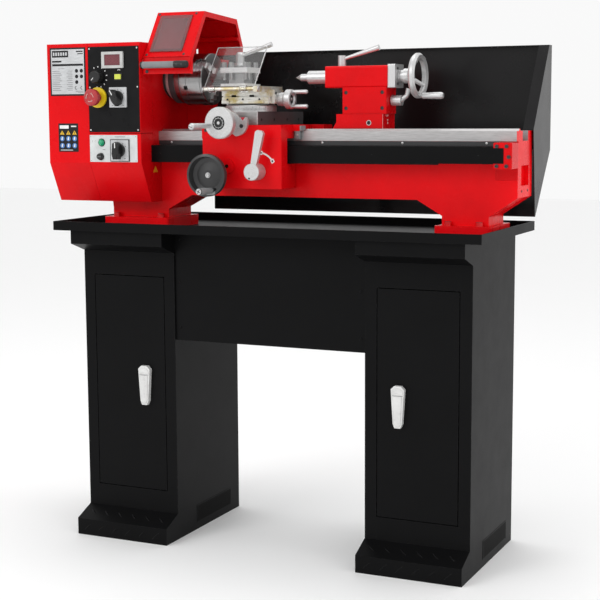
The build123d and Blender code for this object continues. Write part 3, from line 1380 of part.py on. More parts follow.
def tailstock_handwheel():
    """Quill screw with its dial, dished spoked handwheel and handle."""
    left = TAIL_BARREL_X[1] + 18.5
    steps = [(0, 0), (14, 0), (14, 12), (17, 13), (17, 24), (10, 34), (0, 34)]
    dial = turned_x([(across, left + along) for across, along in steps], 0, AXIS_Z)
    ring_x = (315.0, 331.0)
    radius = TAIL_WHEEL_RADIUS
    ring = [
        (radius - 12, ring_x[0] + 3),
        (radius - 4, ring_x[0]),
        (radius, ring_x[0] + 5),
        (radius, ring_x[1] - 5),
        (radius - 4, ring_x[1]),
        (radius - 12, ring_x[1] - 3),
    ]
    wheel = dial + turned_x(ring, 0, AXIS_Z)
    for spoke in range(3):
        angle = math.radians(90 + 120 * spoke)
        start = (left + 24, 11 * math.cos(angle), AXIS_Z + 11 * math.sin(angle))
        end = (ring_x[0] + 8, (radius - 8) * math.cos(angle), AXIS_Z + (radius - 8) * math.sin(angle))
        wheel += rod_between(start, end, 6, 4.5)
    grip = [(0, -6), (5, -6), (5, 0), (7, 4), (8, 47), (6, 53), (0, 53)]
    grip = [(across, ring_x[1] + along) for across, along in grip]
    wheel += turned_x(grip, 0, AXIS_Z - radius + 6)
    return wheel + bar_x((140, left + 1), 0, AXIS_Z, TAIL_SCREW_RADIUS)


def quill_lock_lever():
    hub = bar_z(134, 0, (TAIL_BARREL_Z[1] + 0.5, 1176), 9.5) + bar_z(134, 0, (1144.5, 1152), 5)
    return hub + rod_between((138, 0, 1168), (227, 0, 1193), 3.5, 6.5)


def tailstock_clamp_lever():
    """Cam hub on the back of the tailstock body, with a cranked lever."""
    hub = bar_x((259.5, 284), 0, 1071, 12) + bar_x((242, 262), 0, 1071, 6)
    lever = rod_between((281, 0, 1071), (297, 0, 1083), 6, 5)
    return hub + lever + rod_between((296, 0, 1082), (299, 0, 1098), 5.2)


def build_parts():
    """Every node's name with its solids."""
    parts = {
        "cabinet_left": cabinet(-1),
        "cabinet_right": cabinet(1),
        "door_left": door(-1),
        "door_right": door(1),
        "latch_left": latch(-1),
        "latch_right": latch(1),
        "skirt_panel": skirt_panel(),
        "chip_tray": chip_tray(),
        "splash_guard": splash_guard(),
        "bed": bed(),
        "gear_rack": gear_rack(),
        "leadscrew": leadscrew(),
        "leadscrew_cover": leadscrew_cover(),
        "leadscrew_bracket": leadscrew_bracket(),
        "socket_screws": socket_screws(),
        "headstock": headstock(),
        "end_cover": end_cover(),
        "electrical_boxes": electrical_boxes(),
        "control_panels": control_panels(),
        "panel_indicators": panel_indicators(),
        "panel_button": panel_button(),
        "control_bezels": control_bezels(),
        "estop_button": estop_button(),
        "speed_knob": speed_knob(),
        "direction_knob": switch_knob(DIRECTION_SWITCH, -30),
        "power_knob": switch_knob(POWER_SWITCH, 0),
        "motor_housing": motor_housing(),
        "spindle": spindle(),
        "spindle_bearings": spindle_bearings(),
        "spindle_pulley": spindle_pulley(),
        "stud_gear": stud_gear(),
        "motor": motor(),
        "motor_pulley": motor_pulley(),
        "drive_belt": drive_belt(),
        "chuck_body": chuck_body(),
        "chuck_guard": chuck_guard(),
        "chuck_guard_window": chuck_guard_window(),
        "saddle": saddle(),
        "apron": apron(),
        "rack_gear": rack_gear(),
        "apron_handwheel": apron_handwheel(),
        "half_nut_lever": half_nut_lever(),
        "half_nut": half_nut(),
        "cross_slide": cross_slide(),
        "cross_slide_handwheel": cross_slide_handwheel(),
        "swivel_base": swivel_base(),
        "compound_slide": compound_slide(),
        "compound_handwheel": compound_handwheel(),
        "tool_post": tool_post(),
        "tool_post_lever": tool_post_lever(),
        "tool_guard": tool_guard(),
        "tailstock_body": tailstock_body(),
        "tailstock_end_cap": tailstock_end_cap(),
        "tailstock_quill": tailstock_quill(),
        "tailstock_handwheel": tailstock_handwheel(),
        "quill_lock_lever": quill_lock_lever(),
        "tailstock_clamp_lever": tailstock_clamp_lever(),
    }
    for number, angle in enumerate(JAW_ANGLES, start=1):
        parts[f"chuck_jaw_{number}"] = chuck_jaw(angle)
    return parts


def main():
    os.makedirs("parts", exist_ok=True)
    for name, shape in build_parts().items():
        placed = [Pos(0, ROW_SHIFT_Y, 0) * solid for solid in shape.solids()]
        export_step(group(*placed), f"parts/{name}.step")


main()
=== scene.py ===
import json
import math

import bmesh
import bpy
from mathutils import Matrix, Vector


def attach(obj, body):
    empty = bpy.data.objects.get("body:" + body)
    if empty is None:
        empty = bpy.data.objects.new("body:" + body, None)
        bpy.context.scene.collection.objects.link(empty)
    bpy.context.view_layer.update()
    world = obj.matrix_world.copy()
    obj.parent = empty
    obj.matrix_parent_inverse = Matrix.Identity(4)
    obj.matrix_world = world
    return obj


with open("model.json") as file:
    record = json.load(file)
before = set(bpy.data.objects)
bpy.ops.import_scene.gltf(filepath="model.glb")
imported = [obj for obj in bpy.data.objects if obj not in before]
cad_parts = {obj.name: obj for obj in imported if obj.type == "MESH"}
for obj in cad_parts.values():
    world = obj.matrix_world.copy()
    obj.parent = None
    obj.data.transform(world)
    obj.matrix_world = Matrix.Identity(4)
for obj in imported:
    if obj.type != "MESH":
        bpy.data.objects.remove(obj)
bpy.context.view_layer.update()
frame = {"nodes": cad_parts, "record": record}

# Lengths below are millimetres from the lathe's own axes: Y is 0 at the spindle, and the row's Y is
# ROW_SHIFT further back.
MM = 0.001
ROW_SHIFT = 28.0

RED = (0.70, 0.003, 0.006, 1)
BLACK = (0.0045, 0.0045, 0.0048, 1)
WHITE = (0.80, 0.80, 0.79, 1)
INK = (0.02, 0.02, 0.022, 1)


# ---------------------------------------------------------------- shader building


def object_coordinates(tree, scale=(1, 1, 1)):
    place = tree.nodes.new("ShaderNodeTexCoord")
    mapping = tree.nodes.new("ShaderNodeMapping")
    mapping.inputs["Scale"].default_value = scale
    tree.links.new(place.outputs["Object"], mapping.inputs["Vector"])
    return mapping.outputs["Vector"]


def noise(tree, vector, scale, detail=4.0, roughness=0.55):
    node = tree.nodes.new("ShaderNodeTexNoise")
    node.inputs["Scale"].default_value = scale
    node.inputs["Detail"].default_value = detail
    node.inputs["Roughness"].default_value = roughness
    tree.links.new(vector, node.inputs["Vector"])
    return node.outputs["Fac"]


def ramp(tree, factor, start, end, low=0.0, high=1.0):
    """Maps factor from start..end to low..high, held at both ends."""
    node = tree.nodes.new("ShaderNodeMapRange")
    for name, value in (("From Min", start), ("From Max", end), ("To Min", low), ("To Max", high)):
        node.inputs[name].default_value = value
    tree.links.new(factor, node.inputs["Value"])
    return node.outputs["Result"]


def put(tree, socket, value):
    if isinstance(value, bpy.types.NodeSocket):
        tree.links.new(value, socket)
    else:
        socket.default_value = value


def arithmetic(tree, operation, *values):
    node = tree.nodes.new("ShaderNodeMath")
    node.operation = operation
    for value, socket in zip(values, node.inputs):
        put(tree, socket, value)
    return node.outputs[0]


def mixed(tree, factor, first, second):
    """first where factor is 0 and second where it is 1; colours or numbers."""
    if not isinstance(first, bpy.types.NodeSocket) and first == second:
        return first
    node = tree.nodes.new("ShaderNodeMix")
    colour = isinstance(first, tuple) or getattr(first, "type", "") == "RGBA"
    node.data_type = "RGBA" if colour else "FLOAT"
    inputs = (node.inputs[6], node.inputs[7]) if colour else (node.inputs[2], node.inputs[3])
    for value, socket in zip((factor, first, second), (node.inputs[0], *inputs)):
        put(tree, socket, value)
    return node.outputs[2 if colour else 0]


def shade(colour, factor):
    return tuple(min(1.0, channel * factor) for channel in colour[:3]) + (1,)


def edge_wear(tree, radius=0.0012):
    """Rises to 1 along sharp outer edges."""
    bevel = tree.nodes.new("ShaderNodeBevel")
    bevel.inputs["Radius"].default_value = radius
    geometry = tree.nodes.new("ShaderNodeNewGeometry")
    dot = tree.nodes.new("ShaderNodeVectorMath")
    dot.operation = "DOT_PRODUCT"
    tree.links.new(bevel.outputs[0], dot.inputs[0])
    tree.links.new(geometry.outputs["Normal"], dot.inputs[1])
    return ramp(tree, dot.outputs["Value"], 0.97, 0.80)


# A finish is a function of a node tree that gives colour, metallic, roughness and height (in mm).


def paint(colour, rough=0.25, peel=0.012, waves=0.0, worn=None, drift=0.14, smudge=(0.75, 1.4)):
    """Sprayed paint: colour drift, smudged gloss, orange peel and rubbed edges."""

    def finish(tree):
        vector = object_coordinates(tree)
        tint = ramp(tree, noise(tree, vector, 7.0), 0.3, 0.7)
        base = mixed(tree, tint, shade(colour, 1 - drift), shade(colour, 1 + drift / 2))
        if worn:
            rub = ramp(tree, noise(tree, vector, 190.0, 6.0, 0.7), 0.50, 0.62, 0.0, 0.8)
            base = mixed(tree, arithmetic(tree, "MULTIPLY", edge_wear(tree), rub), base, worn)
        smears = noise(tree, vector, 16.0, 6.0, 0.65)
        gloss = ramp(tree, smears, 0.25, 0.75, rough * smudge[0], rough * smudge[1])
        height = arithmetic(tree, "MULTIPLY", noise(tree, vector, 520.0, 2.0), peel)
        if waves:
            broad = arithmetic(tree, "MULTIPLY", noise(tree, vector, 60.0, 3.0), waves)
            height = arithmetic(tree, "ADD", height, broad)
        return {"colour": base, "metallic": 0.0, "roughness": gloss, "height": height}

    return finish


def metal(colour, rough, grain=(1, 1, 1), scale=700.0, stain=None, depth=0.006, share=1.0):
    """Machined metal: tool marks stretched by grain, uneven sheen, an optional oil stain; share
    is how metallic it is, lower for satin plating."""

    def finish(tree):
        vector = object_coordinates(tree)
        marks = noise(tree, object_coordinates(tree, grain), scale, 3.0, 0.6)
        cloud = noise(tree, vector, 30.0, 5.0, 0.6)
        base = mixed(tree, ramp(tree, marks, 0.3, 0.7), shade(colour, 0.78), shade(colour, 1.1))
        if stain:
            base = mixed(tree, ramp(tree, cloud, 0.44, 0.62), base, stain)
        both = arithmetic(tree, "ADD", marks, cloud)
        sheen = ramp(tree, both, 0.6, 1.4, rough * 0.7, rough * 1.35)
        height = arithmetic(tree, "MULTIPLY", marks, depth)
        return {"colour": base, "metallic": share, "roughness": sheen, "height": height}

    return finish


def moulded(colour, rough=0.35, texture=800.0, depth=0.008):
    """Moulded plastic, rubber or print: fine texture and faint handling marks."""

    def finish(tree):
        vector = object_coordinates(tree)
        cloud = noise(tree, vector, 45.0, 5.0)
        base = mixed(tree, ramp(tree, cloud, 0.3, 0.7), shade(colour, 0.86), shade(colour, 1.06))
        gloss = ramp(tree, cloud, 0.3, 0.7, rough * 0.8, rough * 1.25)
        height = arithmetic(tree, "MULTIPLY", noise(tree, vector, texture, 2.0), depth)
        return {"colour": base, "metallic": 0.0, "roughness": gloss, "height": height}

    return finish


def within(**spans):
    """Mask that is 1 where each named coordinate lies between its (low, high) limits."""

    def mask(tree):
        split = tree.nodes.new("ShaderNodeSeparateXYZ")
        tree.links.new(object_coordinates(tree), split.inputs[0])
        factor = 1.0
        for axis, (low, high) in spans.items():
            value = split.outputs[axis.upper()]
            shift = ROW_SHIFT if axis == "y" else 0
            above = arithmetic(tree, "GREATER_THAN", value, (low + shift) * MM)
            below = arithmetic(tree, "LESS_THAN", value, (high + shift) * MM)
            between = arithmetic(tree, "MULTIPLY", above, below)
            factor = arithmetic(tree, "MULTIPLY", factor, between)
        return factor

    return mask


def either(first, second):
    return lambda tree: arithmetic(tree, "MAXIMUM", first(tree), second(tree))


def material(name, base, *covers, **uniform):
    """A material of one finish, with (mask, finish) pairs over it and uniform shader values."""
    made = bpy.data.materials.new(name)
    made.use_nodes = True
    tree = made.node_tree
    tree.nodes.clear()
    look = base(tree)
    for mask, finish in covers:
        factor, over = mask(tree), finish(tree)
        look = {part: mixed(tree, factor, look[part], over[part]) for part in look}
    shader = tree.nodes.new("ShaderNodeBsdfPrincipled")
    output = tree.nodes.new("ShaderNodeOutputMaterial")
    tree.links.new(shader.outputs[0], output.inputs[0])
    for socket, value in uniform.items():
        shader.inputs[socket.replace("_", " ")].default_value = value
    put(tree, shader.inputs["Base Color"], look["colour"])
    put(tree, shader.inputs["Metallic"], look["metallic"])
    put(tree, shader.inputs["Roughness"], look["roughness"])
    if isinstance(look["height"], bpy.types.NodeSocket):
        bump = tree.nodes.new("ShaderNodeBump")
        bump.inputs["Distance"].default_value = MM
        tree.links.new(look["height"], bump.inputs["Height"])
        tree.links.new(bump.outputs["Normal"], shader.inputs["Normal"])
    return made


# ---------------------------------------------------------------- materials

LATHE_PAINT = dict(rough=0.26, worn=(0.22, 0.02, 0.02, 1))
RED_CAST = paint(RED, waves=0.16, **LATHE_PAINT)
RED_SHEET = paint(RED, **LATHE_PAINT)
STAND = paint(BLACK, 0.42, 0.02, smudge=(0.93, 1.08), worn=(0.05, 0.05, 0.05, 1))
GLOSS_BLACK = paint((0.0065, 0.006, 0.0065, 1), 0.22, 0.008, worn=(0.05, 0.05, 0.05, 1))
GROUND = metal((0.46, 0.45, 0.45, 1), 0.38, (0.05, 1, 1), 900.0, share=0.8)
BRIGHT = metal((0.60, 0.60, 0.60, 1), 0.34, (0.2, 1, 1), 900.0, share=0.75)
SATIN = metal((0.60, 0.60, 0.60, 1), 0.36, (1, 0.3, 1), 700.0, depth=0.004, share=0.65)
DARK_STEEL = metal((0.045, 0.045, 0.047, 1), 0.42, share=0.3)
CAST_ALLOY = metal((0.50, 0.50, 0.49, 1), 0.42, depth=0.02)
BLACK_PLASTIC = moulded((0.012, 0.012, 0.012, 1), 0.34)
GREY_PLASTIC = moulded((0.22, 0.23, 0.235, 1), 0.50, 420.0, 0.05)
SWITCH_PLATE = moulded((0.56, 0.57, 0.58, 1), 0.28)
YELLOW = moulded((0.80, 0.60, 0.015, 1), 0.30)
GREEN = moulded((0.02, 0.36, 0.17, 1), 0.22)
PRINT = dict(texture=1200.0, depth=0.002)

MATERIALS = {
    "red_paint": material("red_cast_paint", RED_CAST, Specular_IOR_Level=0.10),
    "red_sheet": material("red_sheet_paint", RED_SHEET, Specular_IOR_Level=0.10),
    "bed": material(
        "bed_paint_with_painted_light_and_ways",
        # The bed's red is made a quarter brighter than the other castings: painted light on the bed
        # front, which the lamps leave in shade below the ways.
        paint(shade(RED, 1.25), waves=0.16, **LATHE_PAINT),
        (within(z=(979.1, 1010), x=(-600, 576.6)), GROUND),
        Specular_IOR_Level=0.10,
    ),
    "saddle": material(
        "saddle_paint_and_steel",
        RED_CAST,
        (either(within(y=(-160, -140.9)), within(z=(1016.1, 1040))), SATIN),
        Specular_IOR_Level=0.10,
    ),
    "chuck_guard": material(
        "guard_paint_and_handle",
        RED_SHEET,
        (within(y=(-170, -143)), GREY_PLASTIC),
        Specular_IOR_Level=0.10,
    ),
    "black_stand": material("black_stand_paint", STAND, Specular_IOR_Level=0.07),
    "black_guard": material("black_guard_paint", GLOSS_BLACK, Specular_IOR_Level=0.22),
    "light_latch": material(
        "latch_metal", moulded((0.68, 0.68, 0.67, 1), 0.30), Specular_IOR_Level=0.6
    ),
    "ground_steel": material("ground_steel", GROUND),
    "cross_slide": material(
        "cross_slide_steel_with_painted_shade_side",
        metal((0.36, 0.36, 0.355, 1), 0.38, (0.05, 1, 1), 900.0, share=0.8),
        # The right face, from x -30.6 on, gets a darker, duller steel: painted shade on the side turned
        # from the lights.
        (within(x=(-30.6, 0)), metal((0.085, 0.085, 0.088, 1), 0.45, share=0.2)),
    ),
    "bright_steel": material("bright_steel", BRIGHT),
    "chuck": material(
        "turned_chuck_steel",
        metal((0.34, 0.34, 0.34, 1), 0.20, (1, 0.08, 0.08), 1300.0),
        (within(x=(-208.2, -200)), metal((0.20, 0.20, 0.20, 1), 0.45)),
    ),
    "oiled_steel": material(
        "oiled_steel",
        metal((0.72, 0.71, 0.66, 1), 0.34, (0.1, 1, 1), 800.0, (0.50, 0.40, 0.16, 1), share=0.6),
    ),
    "dark_steel": material("dark_steel", DARK_STEEL),
    "socket_screws": material(
        "screw_steel_and_paint", DARK_STEEL, (within(z=(760, 800)), RED_CAST)
    ),
    "tool_post": material(
        "tool_post_steel",
        metal((0.34, 0.34, 0.34, 1), 0.36, share=0.6),
        (
            either(within(z=(1138, 1151.5)), within(z=(1100, 1113.5))),
            metal((0.85, 0.85, 0.85, 1), 0.35, share=0.3),
        ),
    ),
    "satin_wheel": material("satin_wheel", SATIN),
    "cast_alloy": material("cast_alloy", CAST_ALLOY),
    "black_plastic": material("black_plastic", BLACK_PLASTIC, Specular_IOR_Level=0.35),
    "apron_wheel": material(
        "apron_wheel_plastic",
        moulded((0.030, 0.030, 0.031, 1), 0.34),
        (within(x=(-124, -102), z=(856, 877), y=(-252, -195)), GREY_PLASTIC),
        Specular_IOR_Level=0.4,
    ),
    "grey_plastic": material("grey_plastic", GREY_PLASTIC),
    "panel_sheet": material(
        "printed_panels",
        moulded((0.008, 0.008, 0.0085, 1), 0.32, 1500.0, 0.003),
        (within(z=(900, 996)), moulded((0.66, 0.68, 0.68, 1), 0.34, 1500.0, 0.003)),
        Specular_IOR_Level=0.10,
    ),
    "indicator_plastic": material(
        "indicator_plastic",
        moulded((0.50, 0.50, 0.49, 1), 0.30),
        (within(z=(960, 990)), GREEN),
        (within(z=(920, 959)), BLACK_PLASTIC),
    ),
    "button_green": material("button_plastic", moulded((0.62, 0.68, 0.08, 1), 0.3)),
    "bezel_plastic": material("bezel_plastic", SWITCH_PLATE, (within(x=(-470, -415)), YELLOW)),
    "red_plastic": material(
        "red_plastic", moulded((0.42, 0.035, 0.04, 1), 0.25), Specular_IOR_Level=0.4
    ),
    "rubber": material(
        "rubber", moulded((0.012, 0.012, 0.012, 1), 0.65, 900.0, 0.03), Specular_IOR_Level=0.3
    ),
    "white_print": material("white_print", moulded(WHITE, 0.4, **PRINT)),
    "grey_print": material("grey_print", moulded((0.20, 0.20, 0.21, 1), 0.4, **PRINT)),
    "dark_print": material("dark_print", moulded(INK, 0.4, **PRINT), Specular_IOR_Level=0.1),
    "yellow_print": material("yellow_print", moulded((0.75, 0.45, 0.02, 1), 0.4, **PRINT)),
    "blue_print": material("blue_print", moulded((0.07, 0.20, 0.50, 1), 0.4, **PRINT)),
    "red_print": material("red_print", moulded((0.55, 0.02, 0.04, 1), 0.35, **PRINT)),
    "pale_print": material("pale_print", moulded((0.62, 0.30, 0.28, 1), 0.4, **PRINT)),
    "plate_metal": material("plate_metal", metal((0.55, 0.56, 0.57, 1), 0.36, (0.05, 1, 1), 900.0)),
    "dark_screen": material("dark_screen", moulded((0.15, 0.035, 0.045, 1), 0.10, 300.0, 0.001)),
    "dim_segment": material("dim_segment", moulded((0.22, 0.055, 0.065, 1), 0.15, **PRINT)),
    # Near-black matt fill for holes, slots and openings: painted shade standing for their hollow
    # insides.
    "painted_recess_shade": material(
        "painted_recess_shade",
        paint((0.003, 0.003, 0.003, 1), 0.6, smudge=(0.97, 1.03)),
        Specular_IOR_Level=0.05,
    ),
}


def clear(name, colour, low, high, density):
    """Clear sheet with wipe marks in its gloss; density clouds it."""
    made = bpy.data.materials.new(name)
    made.use_nodes = True
    tree = made.node_tree
    tree.nodes.clear()
    glass = tree.nodes.new("ShaderNodeBsdfPrincipled")
    output = tree.nodes.new("ShaderNodeOutputMaterial")
    tree.links.new(glass.outputs[0], output.inputs[0])
    glass.inputs["IOR"].default_value = 1.49
    glass.inputs["Transmission Weight"].default_value = 1.0 - density
    wipes = noise(tree, object_coordinates(tree, (1, 1, 0.25)), 60.0, 4.0)
    tree.links.new(mixed(tree, wipes, colour, shade(colour, 1.05)), glass.inputs["Base Color"])
    tree.links.new(ramp(tree, wipes, 0.4, 0.8, low, high), glass.inputs["Roughness"])
    return made


MATERIALS["clear_plastic"] = clear("clear_plastic", (0.95, 0.96, 0.96, 1), 0.0, 0.01, 0.02)
# Hazy white for the tool guard's rims: a painted glint of light along its clear edges.
MATERIALS["painted_edge_glint"] = clear("painted_edge_glint", (0.93, 0.94, 0.94, 1), 0.35, 0.5, 0.65)
MATERIALS["tinted_window"] = clear("tinted_window", (0.60, 0.50, 0.52, 1), 0.04, 0.10, 0.10)

SPECIAL = {
    "leadscrew_cover": "black_stand",
    "socket_screws": "socket_screws",
    "tool_post": "tool_post",
    "swivel_base": "satin_wheel",
    "tailstock_quill": "bright_steel",
    "bed": "bed",
    "saddle": "saddle",
    "chuck_guard": "chuck_guard",
    "chuck_guard_window": "tinted_window",
    "cross_slide": "cross_slide",
    "apron_handwheel": "apron_wheel",
    "end_cover": "red_sheet",
    "electrical_boxes": "red_sheet",
    "motor_housing": "red_sheet",
    "chuck_body": "chuck",
}


def dress_cad_nodes():
    slots = {entry["node"]: entry["material_slot"] for entry in frame["record"]["subparts"]}
    for name, node in frame["nodes"].items():
        node.data.materials.clear()
        node.data.materials.append(MATERIALS[SPECIAL.get(name, slots[name])])
        for polygon in node.data.polygons:
            polygon.material_index = 0


dress_cad_nodes()


# ---------------------------------------------------------------- solids for the added pieces
# A solid is (corners, faces), with corners in the lathe's millimetres.

FRONT = (0, -1, 0)
RIGHT = (1, 0, 0)
LEFT = (-1, 0, 0)
REAR = (0, 1, 0)
UP = (0, 0, 1)


def prism(axis, outline, low, high):
    """An outline in the two other axes, taken in XYZ order, pushed along one axis."""
    first, second = [index for index in range(3) if index != axis]
    corners = []
    for level in (low, high):
        for u, v in outline:
            corner = [0, 0, 0]
            corner[axis], corner[first], corner[second] = level, u, v
            corners.append(corner)
    count = len(outline)
    faces = [list(range(count)), list(range(count, 2 * count))]
    for index in range(count):
        after = (index + 1) % count
        faces.append([index, after, after + count, index + count])
    return corners, faces


def box(x, y, z):
    return prism(1, ((x[0], z[0]), (x[1], z[0]), (x[1], z[1]), (x[0], z[1])), *y)


def lathe(profile, origin, direction, steps=32):
    """A solid of revolution through (radius, distance) points about a line from origin."""
    along = Vector(direction).normalized()
    turn = along.to_track_quat("Z", "Y")
    right, up = turn @ Vector((1, 0, 0)), turn @ Vector((0, 1, 0))
    corners, rings, faces = [], [], []
    for radius, distance in profile:
        circle = []
        for step in range(steps if radius > 0 else 1):
            angle = math.tau * step / steps
            offset = radius * (right * math.cos(angle) + up * math.sin(angle))
            circle.append(len(corners))
            corners.append(Vector(origin) + along * distance + offset)
        rings.append(circle)
    for near, far in zip(rings, rings[1:]):
        for step in range(steps):
            after = step + 1
            inner = (near[step % len(near)], near[after % len(near)])
            outer = (far[after % len(far)], far[step % len(far)])
            faces.append(list(dict.fromkeys(inner + outer)))
    return corners, [face for face in faces if len(face) > 2]


SUNK = -0.2  # how far a solid's foot sits inside the surface it stands on


def ring(radii, depth, origin, direction, steps=32):
    """A plain ring between two radii, open towards its line."""
    inner, outer = radii
    profile = ((inner, 0), (outer, 0), (outer, depth), (inner, depth))
    return lathe(profile, origin, direction, steps)


def disc(origin, direction, radius, height, edge=0.3):
    """A low round boss with a softened rim, standing on origin."""
    profile = [(0, height), (radius - edge, height), (radius, height - edge)]
    return lathe(profile + [(radius, SUNK), (0, SUNK)], origin, direction)


def cap_screw(origin, direction, radius, height):
    """A socket screw's head; its socket is open."""
    inner = radius * 0.48
    profile = [(0, height * 0.3), (inner, height * 0.3), (inner, height), (radius * 0.88, height)]
    profile += [(radius, height * 0.8), (radius, SUNK), (0, SUNK)]
    return lathe(profile, origin, direction, 24)


def pan_screw(origin, direction, radius, height):
    profile = [(0, height), (radius * 0.6, height * 0.9), (radius, height * 0.3)]
    return lathe(profile + [(radius, SUNK), (0, SUNK)], origin, direction, 20)


def dial_marks(centre, direction, radius, marks, lengths, long_every):
    """Thin raised lines along a dial's rim; every long_every-th takes the longer length."""
    solids = []
    for step in range(marks):
        angle = math.tau * step / marks
        across, up = radius * math.cos(angle), radius * math.sin(angle)
        x, y, z = centre
        start = (x, y + across, z + up) if direction == RIGHT else (x + across, y, z + up)
        length = lengths[0] if step % long_every == 0 else lengths[1]
        solids.append(ring((0, 0.3), length, start, direction, 6))
    return solids


def arc_band(centre, radii, span_deg, y, steps=18):
    """A flat band in the XZ plane between two radii; angles run clockwise from the top."""
    inner, outer = radii
    start, end = span_deg
    angles = [math.radians(start + (end - start) * step / steps) for step in range(steps + 1)]
    solids = []
    for near, far in zip(angles, angles[1:]):
        outline = [
            (centre[0] + radius * math.sin(angle), centre[1] + radius * math.cos(angle))
            for radius, angle in ((inner, near), (outer, near), (outer, far), (inner, far))
        ]
        solids.append(prism(1, outline, *y))
    return solids


def turned_about(solid, centre, angle_deg):
    """Turns a solid about a Y axis through (x, z); positive takes the top towards +X."""
    corners, faces = solid
    angle = math.radians(angle_deg)
    moved = []
    for x, y, z in corners:
        dx, dz = x - centre[0], z - centre[1]
        turned_x = centre[0] + dx * math.cos(angle) + dz * math.sin(angle)
        moved.append((turned_x, y, centre[1] - dx * math.sin(angle) + dz * math.cos(angle)))
    return moved, faces


def piece(name, look, body, solids, bevel=0.0):
    """One visible piece made of solids, riding on a CAD body."""
    shape = bmesh.new()
    for corners, faces in solids:
        made = [shape.verts.new(((x * MM), (y + ROW_SHIFT) * MM, z * MM)) for x, y, z in corners]
        for face in faces:
            shape.faces.new([made[index] for index in face])
    bmesh.ops.recalc_face_normals(shape, faces=shape.faces)
    mesh = bpy.data.meshes.new(name)
    shape.to_mesh(mesh)
    shape.free()
    for polygon in mesh.polygons:
        polygon.use_smooth = True
    mesh.set_sharp_from_angle(angle=math.radians(35))
    mesh.materials.append(MATERIALS[look])
    made = bpy.data.objects.new(name, mesh)
    bpy.context.scene.collection.objects.link(made)
    if bevel:
        softened = made.modifiers.new("softened", "BEVEL")
        softened.width = bevel * MM
        softened.segments = 3
        softened.limit_method = "ANGLE"
        softened.angle_limit = math.radians(40)
    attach(made, body)
    return made


PANEL_Y = -153.0
COVER_Y = -151.5
COVER_X = -588.0
AXIS_Z = 1126.5


def flat(x, z, y, rise=0.3):
    """A thin printed or engraved block on a front-facing surface at y."""
    return box(x, (y - rise, y + 0.1), z)


def about(middle, reach):
    """The span that reaches the same way to both sides of a middle."""
    return (middle - reach, middle + reach)


# ---------------------------------------------------------------- headstock: panels and labels


def tick_ring(centre, radius, angles, size, y):
    ticks = []
    for angle in angles:
        width, length = size
        top = centre[1] + radius
        tick = flat(about(centre[0], width / 2), about(top, length / 2), y)
        ticks.append(turned_about(tick, centre, angle))
    return ticks


SPEED_KNOB = (-441, 1132)
DISPLAY = (-398, 1172)
BUTTON = (-384, 1132)
SWITCHES = (((-385, 1083), -30, "direction"), ((-383, 956), 0, "power"))
ESTOP = (-442, 1083)


def seven_segments(x, z, height, y):
    """The seven bars of one display digit whose lower-left corner is (x, z)."""
    half, width, bar = height / 2, height * 0.5, height * 0.09
    bars = []
    for level in (0, half, height):
        bars.append(flat((x + bar, x + width - bar), about(z + level, bar / 2), y, 0.1))
    for low in (0, half):
        for side in (0, width):
            upright = (z + low + bar, z + low + half - bar)
            bars.append(flat(about(x + side, bar / 2), upright, y, 0.1))
    return bars


def dress_upper_panel():
    screws = []
    for x in (-465.0, -331.5):
        for z in (1199.5, 1107.5, 1005.0):
            screws.append(pan_screw((x, PANEL_Y, z), FRONT, 2.1, 1.0))
    piece("panel_screws", "bright_steel", "machine_frame", screws)
    x, z = DISPLAY
    screen = box((x - 21.9, x + 21.9), (PANEL_Y - 3.5, PANEL_Y - 2.9), (z - 12.9, z + 12.9))
    piece("display_screen", "dark_screen", "machine_frame", [screen])
    digits = []
    for place in range(4):
        digits += seven_segments(x - 17 + place * 9.5, z - 6.5, 13, PANEL_Y - 3.5)
    piece("display_digits", "dim_segment", "machine_frame", digits)
    marks = tick_ring(SPEED_KNOB, 24.5, range(-27, 190, 27), (2.0, 3.4), PANEL_Y)
    x, z = BUTTON
    marks += arc_band((x + 2, z + 13), (3.2, 4.6), (-60, 60), (PANEL_Y - 0.3, PANEL_Y), 8)
    piece("panel_marks", "white_print", "machine_frame", marks)
    surround = [
        flat((x - 11.5, x + 11.5), (z + 6.3, z + 8.6), PANEL_Y, 1.4),
        flat((x - 11.5, x + 11.5), (z - 8.6, z - 6.3), PANEL_Y, 1.4),
        flat((x - 11.5, x - 8.8), (z - 6.3, z + 6.3), PANEL_Y, 1.4),
        flat((x + 8.8, x + 11.5), (z - 6.3, z + 6.3), PANEL_Y, 1.4),
    ]
    piece("button_surround", "black_plastic", "machine_frame", surround)
    # A grey band round the black knob's skirt: a painted highlight on the skirt's rim.
    skirt = arc_band(SPEED_KNOB, (14.6, 16.0), (0, 360), (PANEL_Y - 4.0, PANEL_Y - 1.2), 40)
    flutes = []
    for angle in range(0, 360, 20):
        rim = (SPEED_KNOB[1] + 13, SPEED_KNOB[1] + 15.6)
        rib = box(about(SPEED_KNOB[0], 1), (PANEL_Y - 17, PANEL_Y - 3), rim)
        flutes.append(turned_about(rib, SPEED_KNOB, angle))
    piece("speed_knob_flutes", "black_plastic", "speed_knob", flutes, 0.4)
    piece("speed_knob_skirt_highlight", "grey_print", "speed_knob", skirt)
    pointer = flat((-441.7, -440.3), (1135, 1143.5), PANEL_Y - 19)
    pointer = turned_about(pointer, SPEED_KNOB, -135)
    piece("speed_knob_pointer", "white_print", "speed_knob", [pointer])


